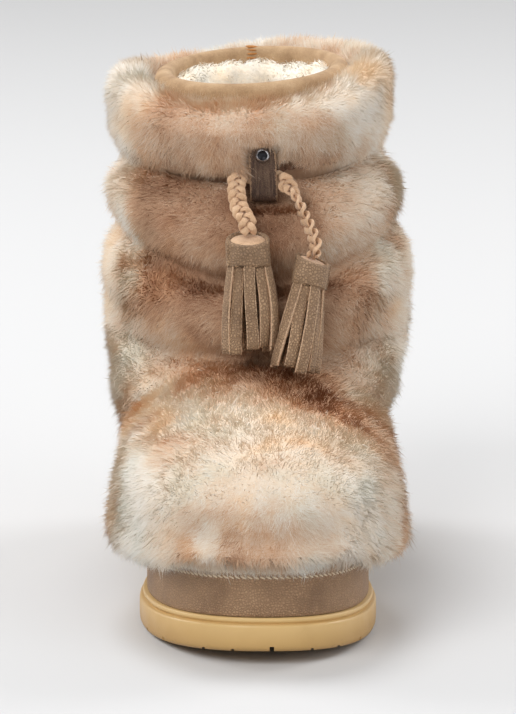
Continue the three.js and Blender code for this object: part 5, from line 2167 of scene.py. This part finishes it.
@dataclass
class Tassel:
    """A leather sleeve round a fringe of strips, at the end of one cord end."""

    side: Side
    top: tuple[float, float, float]
    hang: tuple[float, float, float]
    wide: float
    deep: float
    sleeve: float
    fringe: float
    splay: float
    turn: float
    strips: int = 10
    inner_strips: int = 4
    strip_thickness: float = 1.15
    wall: float = 1.5
    slant: float = 4.2  # how much lower the front of the sleeve's top is than its back
    longer: float = 2.6  # how much further down the sleeve reaches at its lower edge

    def hung(self, block: np.ndarray) -> np.ndarray:
        """Takes points made about the origin, hanging down, to where the tassel hangs.

        Args:
            block: the points.

        Returns:
            The points in the boot's own sizes.
        """
        c, s = math.cos(self.turn), math.sin(self.turn)
        x, y, z = block[..., 0], block[..., 1], block[..., 2]
        spun = np.stack([x * c - y * s, x * s + y * c, z], axis=-1)
        down = Vector((self.hang[0], -self.hang[1], self.hang[2])).normalized()
        turned = spun @ np.array(Vector((0, 0, -1)).rotation_difference(down).to_matrix()).T
        return np.stack(
            [turned[..., 0] + self.top[0], self.top[1] - turned[..., 1], turned[..., 2] + self.top[2]],
            axis=-1
        )

    def oval(self, wide: float, deep: float, z: float, count: int = 48, flare: float = 0.0) -> np.ndarray:
        """A level oval about the tassel's axis.

        Args:
            wide: its width.
            deep: its depth.
            z: its height.
            count: how many points it has.
            flare: how uneven it is.

        Returns:
            Its points.
        """
        turn = np.arange(count) * 2 * math.pi / count
        wave = 1 + flare * np.sin(3 * turn + self.turn * 4)
        return np.column_stack(
            [wide / 2 * np.cos(turn) * wave, deep / 2 * np.sin(turn) * wave, np.full(count, z)]
        )

    def slanted(self, block: np.ndarray) -> np.ndarray:
        """Lowers the front of the sleeve's top, so that its raw end faces forward.

        Args:
            block: the points.

        Returns:
            The lowered points.
        """
        block = block.copy()
        top = smooth((block[..., 2] + self.sleeve * 0.7) / (self.sleeve * 0.7))
        block[..., 2] -= self.slant * (0.5 - block[..., 1] / self.deep) * top
        return block

    def build_sleeve(self, finish: Finishes) -> bpy.types.Object:
        """Makes the sleeve, a tube with rounded rims, and its overlap seam.

        Args:
            finish: the finishes.

        Returns:
            The piece.
        """
        w, d, t, tall = self.wide, self.deep, self.wall, self.sleeve + self.longer
        rows = (
            (w - 2 * t, -tall + 0.2), (w - 2 * t + 0.5, -tall), (w - 0.5, -tall), (w, -tall + 0.4),
            (w + 0.1, -tall * 0.7), (w - 0.25, -tall * 0.45), (w - 0.1, -tall * 0.2), (w, -0.5),
            (w - 0.5, -0.1), (w - 1.2, 0.0), (w - 2 * t + 0.4, 0.0), (w - 2 * t, -0.3),
            (w - 2 * t, -tall * 0.5),
        )
        rings = np.array([self.oval(wide, wide - w + d, z, flare=0.008) for wide, z in rows])
        tube = skin(self.hung(self.slanted(rings)), close_along=True)
        turn = 5.9 if self.side is Side.RIGHT else 3.3
        spans = np.linspace(0, 0.34, 6)
        lap = np.array([
            [[(w / 2 + lift) * math.cos(turn + a), (d / 2 + lift) * math.sin(turn + a), z] for a, lift in
             [(spans[0], -0.4)] + [(a, 0.62) for a in spans[1:-1]] + [(spans[-1], -0.4)]]
            for z in (-0.2, -tall * 0.33, -tall * 0.66, -tall + 0.2)
        ])
        flap = skin(self.hung(self.slanted(lap)), close_across=True)
        piece = finished(
            f"tassel_sleeve_{self.side.value}_leather", joined([tube, capped(flap)]), [finish.sleeve], 60
        )
        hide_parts(f"tassel_sleeve_{self.side.value}")
        return piece

    def strip(self, rng: np.random.Generator, number: int, inner: bool) -> np.ndarray:
        """One strip of the fringe.

        Args:
            rng: the source of random numbers.
            number: its number round the fringe.
            inner: whether it hangs inside the others.

        Returns:
            A block of points, across and along it.
        """
        core_wide, core_deep = self.wide - 3.6, self.deep - 3.6
        if inner:
            core_wide, core_deep = core_wide * 0.5, core_deep * 0.5
        count = self.inner_strips if inner else self.strips
        turn = 2 * math.pi * number / count + 0.35
        deeper = 0.55 * (-1) ** number
        tall = self.fringe * rng.uniform(0.9, 1.0) - (3.0 if inner else 0.0)
        share = np.linspace(0, 1, 13)
        swell = 1 + 0.46 * np.sin(math.pi * share * 0.62) + (self.splay - 1) * 0.35 * share**2
        sway = rng.normal(0, 0.09) * share**2 + rng.normal(0, 0.03) * np.sin(5 * share)
        x = np.cos(turn + sway) * (core_wide * swell / 2 - deeper)
        y = np.sin(turn + sway) * (core_deep * swell / 2 - deeper)
        across = unit(np.array([-math.sin(turn) * core_wide, math.cos(turn) * core_deep]))
        out = np.array([across[1], -across[0]])
        twist = rng.normal(0, 0.3) * share + rng.normal(0, 0.08)
        half = (4.3 + 0.7 * share) / 2 * (0.6 if inner else 1.0)
        steps = np.linspace(-1, 1, 5)
        cup = rng.uniform(0.1, 0.45)
        spot_x = (
            x[:, None]
            + half[:, None] * steps * (across[0] * np.cos(twist) + out[0] * np.sin(twist))[:, None]
            - out[0] * cup * steps**2
        )
        spot_y = (
            y[:, None]
            + half[:, None] * steps * (across[1] * np.cos(twist) + out[1] * np.sin(twist))[:, None]
            - out[1] * cup * steps**2
        )
        z = -self.sleeve - self.longer + 1.5 - (tall + 2.4) * share
        return np.stack([spot_x, spot_y, np.broadcast_to(z[:, None], spot_x.shape)], axis=-1)

    def build_fringe(self, finish: Finishes) -> list[bpy.types.Object]:
        """Makes the strips, and the rolled core with its raw top.

        Args:
            finish: the finishes.

        Returns:
            The pieces.
        """
        rng = np.random.default_rng(5 if self.side is Side.LEFT else 8)
        parts = [skin(self.hung(self.strip(rng, k, False)), close_across=False) for k in range(self.strips)]
        parts += [
            skin(self.hung(self.strip(rng, k, True)), close_across=False) for k in range(self.inner_strips)
        ]
        strips = finished(f"tassel_strips_{self.side.value}", joined(parts), [finish.tassel], 60)
        thickened(strips, self.strip_thickness)
        w, d = self.wide - 2 * self.wall - 0.2, self.deep - 2 * self.wall - 0.2
        rings = np.array([self.oval(w * share, d * share, z, 40) for share, z in
                          ((1.0, -self.sleeve - 3.0), (1.0, -3.0), (0.99, -1.3), (0.92, -0.75), (0.6, -0.6))])
        core = finished(
            f"tassel_core_{self.side.value}", capped(skin(self.hung(self.slanted(rings)))), [finish.braid],
            60
        )
        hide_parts(f"tassel_fringe_{self.side.value}")
        return [strips, core]


@dataclass
class CordEnd:
    """A free end of the drawcord, from the tab down into its tassel."""

    side: Side
    route: tuple[tuple[float, float, float], ...]
    facing: tuple[float, float, float]  # the way the braid's broad side faces at its lower end
    diameter: float = 7.0
    steps: int = 90
    declared_steps: int = 20

    def line(self, tassel: Tassel, count: int) -> np.ndarray:
        """The end's middle line, evenly spaced.

        Args:
            tassel: the tassel at its end.
            count: how many points.

        Returns:
            The points.
        """
        sleeve = [[t + h * down for t, h in zip(tassel.top, tassel.hang)] for down in (-3.5, 1.6)]
        fine = curve_through(np.array([*self.route, *sleeve]), np.linspace(0, 1, 400))
        run = steps_along(fine)
        return spots_along(fine, run, np.linspace(0, run[-1], count))

    def build(
        self, tassel: Tassel, tassel_pieces: list[bpy.types.Object], finish: Finishes
    ) -> bpy.types.Object:
        """Args:
            tassel: the tassel at its end.
            tassel_pieces: the tassel's pieces; not used.
            finish: the finishes.

        Returns:
            The piece.
        """
        path = self.line(tassel, self.steps)
        share = smooth(np.linspace(0, 1, self.steps) * 1.3)[:, None]
        face = unit(np.array([0.0, 1.0, 0.0]) * (1 - share) + unit(np.array(self.facing)) * share)
        parts = [capped(skin(block)) for block in END_BRAID.thongs(path, face, 0.8)]
        piece = finished(f"cord_end_{self.side.value}_braid", joined(parts), [finish.braid], 60)
        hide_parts(f"cord_end_{self.side.value}")
        route = placed(self.line(tassel, self.declared_steps))
        return piece


TASSELS = {
    Side.LEFT: Tassel(
        Side.LEFT, (-3.2, 149.8, 159.6), (0.01, 0.24, -1), 18.4, 13.8, 13, 37, 0.9, 0, slant=7.5
    ),
    Side.RIGHT: Tassel(
        Side.RIGHT, (24.5, 150, 149.6), (-0.2, 0.36, -1), 15.4, 12.6, 12, 37, 1.6, 0.5, slant=5.5
    ),
}
CORD_ENDS = (
    CordEnd(Side.LEFT, ((3.8, 124, 176), (-0.4, 124.2, 178.2), (-4.2, 126.2, 179.2), (-6.8, 130.6, 177.6),
                        (-7.2, 136.2, 173), (-6, 142.4, 167)), (0.25, 1, 0)),
    CordEnd(Side.RIGHT, ((4.2, 124, 176), (8.5, 124.1, 176), (12.1, 125.6, 175.6), (15.1, 130.2, 173.6),
                         (18.1, 136.2, 169.8), (21.1, 141.8, 163.6)), (0.8, -0.6, 0.3)),
)


@dataclass
class Tab:
    """The dark strip folded round the cord at the front, and its rivet."""

    width: float = 11.5
    thickness: float = 1.5
    front: float = 128.4
    back: float = 115.9
    top: float = 192.0
    back_top: float = 184.4
    fold_top: float = 171.0
    fold_drop: float = 4.6
    rivet_z: float = 187.5
    rivet_radius: float = 3.1

    def build(self, finish: Finishes) -> list[bpy.types.Object]:
        """Makes the strip and the rivet.

        Args:
            finish: the finishes.

        Returns:
            The pieces.
        """
        middle, outer = (self.front + self.back) / 2, (self.front - self.back) / 2 - self.thickness / 2
        rise = np.linspace(self.top, self.fold_top, 22)
        front = np.column_stack([np.full(22, self.front - self.thickness / 2), rise])
        turn = np.linspace(0, math.pi, 14)[1:-1]
        fold = np.column_stack(
            [
                middle + outer * np.cos(turn),
                self.fold_top - (self.fold_drop - self.thickness / 2) * np.sin(turn)
            ]
        )
        behind = np.linspace(self.fold_top, self.back_top, 8)
        back = np.column_stack([np.full(8, self.back + self.thickness / 2), behind])
        line = np.vstack([front, fold, back])
        radius = self.width / 2
        above = np.clip(line[:, 1] - (self.top - radius), 0, radius)
        above[len(front):] = 0
        half = np.sqrt(np.maximum(radius**2 - above**2, 0.2))
        steps = np.linspace(-1, 1, 9)
        block = np.stack([
            TAB_MIDDLE + half[:, None] * steps,
            np.broadcast_to(line[:, :1], (len(line), 9)) - 0.25 * steps**2,
            np.broadcast_to(line[:, 1:], (len(line), 9)),
        ], axis=-1)
        strip = finished("leather_tab", skin(block, close_across=False), [finish.tab], 60)
        thickened(strip, self.thickness)
        soft = strip.modifiers.new("soft edges", "BEVEL")
        soft.width = 0.25 * MM
        soft.segments = 2
        soft.limit_method = "ANGLE"
        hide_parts("tab")
        return [strip, self.rivet(finish)]

    def rivet(self, finish: Finishes) -> bpy.types.Object:
        """The domed cap with a dimple, spun from its profile; its middle is painted dark, a painted dark
        reflection.

        Args:
            finish: the finishes.

        Returns:
            The piece.
        """
        r = self.rivet_radius
        profile = (
            (0.0, -1.2), (1.3, -1.2), (1.3, 0.2), (r, 0.3), (r + 0.05, 0.6), (r - 0.15, 1.1),
            (r * 0.84, 1.6), (r * 0.7, 1.8), (r * 0.58, 1.6), (r * 0.46, 1.2), (r * 0.25, 1.05), (0.0, 1.0)
        )
        bm = bmesh.new()
        centre = placed(np.array([TAB_MIDDLE, self.front, self.rivet_z]))
        verts = [bm.verts.new((centre[0] + a * MM, centre[1] - b * MM, centre[2])) for a, b in profile]
        for a, b in zip(verts, verts[1:]):
            bm.edges.new((a, b))
        bmesh.ops.spin(
            bm, geom=bm.verts[:] + bm.edges[:], cent=tuple(centre), axis=(0, 1, 0), angle=2 * math.pi,
            steps=40, use_merge=True
        )
        bmesh.ops.remove_doubles(bm, verts=bm.verts, dist=1e-6)
        bmesh.ops.recalc_face_normals(bm, faces=bm.faces)
        for face in bm.faces:
            away = face.calc_center_median() - Vector(centre)
            # the middle of the cap takes the darker steel, a painted dark reflection
            face.material_index = 1 if math.hypot(away.x, away.z) < r * 0.66 * MM else 0
        cap = finished("rivet_cap", bm, [finish.steel, finish.steel_painted_dark], 50)
        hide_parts("rivet")
        return cap


@dataclass
class SideLoops:
    """Leather loops that hold the cord at the sides of the shaft."""

    width: float = 14.0
    thickness: float = 1.4
    low: float = 176.4
    high: float = 187.0
    skin_x: float = 50.2
    bend: float = 0.0072

    def build(self, finish: Finishes) -> list[bpy.types.Object]:
        """Makes the two loops.

        Args:
            finish: the finishes.

        Returns:
            The pieces.
        """
        pieces = []
        face = 52.2 + 1.7 + GAP + self.thickness / 2
        middle, tall = (self.low + self.high) / 2, (self.high - self.low) / 2 - self.thickness / 2
        turn = np.linspace(-0.5, 0.5, 17) * math.pi
        bow = np.column_stack(
            [self.skin_x + (face - self.skin_x) * np.cos(turn) ** 0.45, middle + tall * np.sin(turn)]
        )
        steps = np.linspace(-1, 1, 9)
        for name, inner in (("outer", -1.0), ("inner", 1.0)):
            y = steps * self.width / 2
            block = np.stack([
                (bow[:, :1] - self.bend * y**2) * inner,
                np.broadcast_to(LOOP_S + y, (17, 9)),
                np.broadcast_to(bow[:, 1:], (17, 9)),
            ], axis=-1)
            loop = finished(f"leather_loop_{name}", skin(block, close_across=False), [finish.loop], 60)
            thickened(loop, self.thickness)
            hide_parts(f"side_loop_{name}")
            pieces.append(loop)
        return pieces


def main() -> None:
    """Builds the boot and its studio in order."""
    logging.basicConfig(level=logging.INFO, format="%(message)s")
    studio = Studio()
    studio.set_camera()
    finish = Finishes()
    pieces: list[bpy.types.Object] = []
    for end in CORD_ENDS:
        tassel = TASSELS[end.side]
        hanging = [tassel.build_sleeve(finish), *tassel.build_fringe(finish)]
        pieces += [end.build(tassel, hanging, finish), *hanging]
    last = Last()
    upper = Upper()
    pieces.append(Outsole().build(last, finish))
    pieces += Rand().build(last, finish)
    pieces += Insole().build(last, finish)
    pieces.append(upper.build_wall(last, finish))
    pieces += upper.grow_fur(last, finish)
    pieces += upper.line(last, finish)
    pieces += Cuff().build(last, finish)
    pieces += Binding().build(last, finish)
    pieces.append(Drawcord().build(finish))
    pieces += Tab().build(finish)
    pieces += SideLoops().build(finish)
    studio.lay_floor(finish.paper)
    studio.set_lights()
    total = 0
    for piece in pieces:
        faces = sum(len(face.vertices) - 2 for face in piece.data.polygons)
        total += faces
        log.info("%s: %d triangles", piece.name, faces)
    log.info("all pieces: %d triangles", total)


if __name__ == "__main__":
    main()
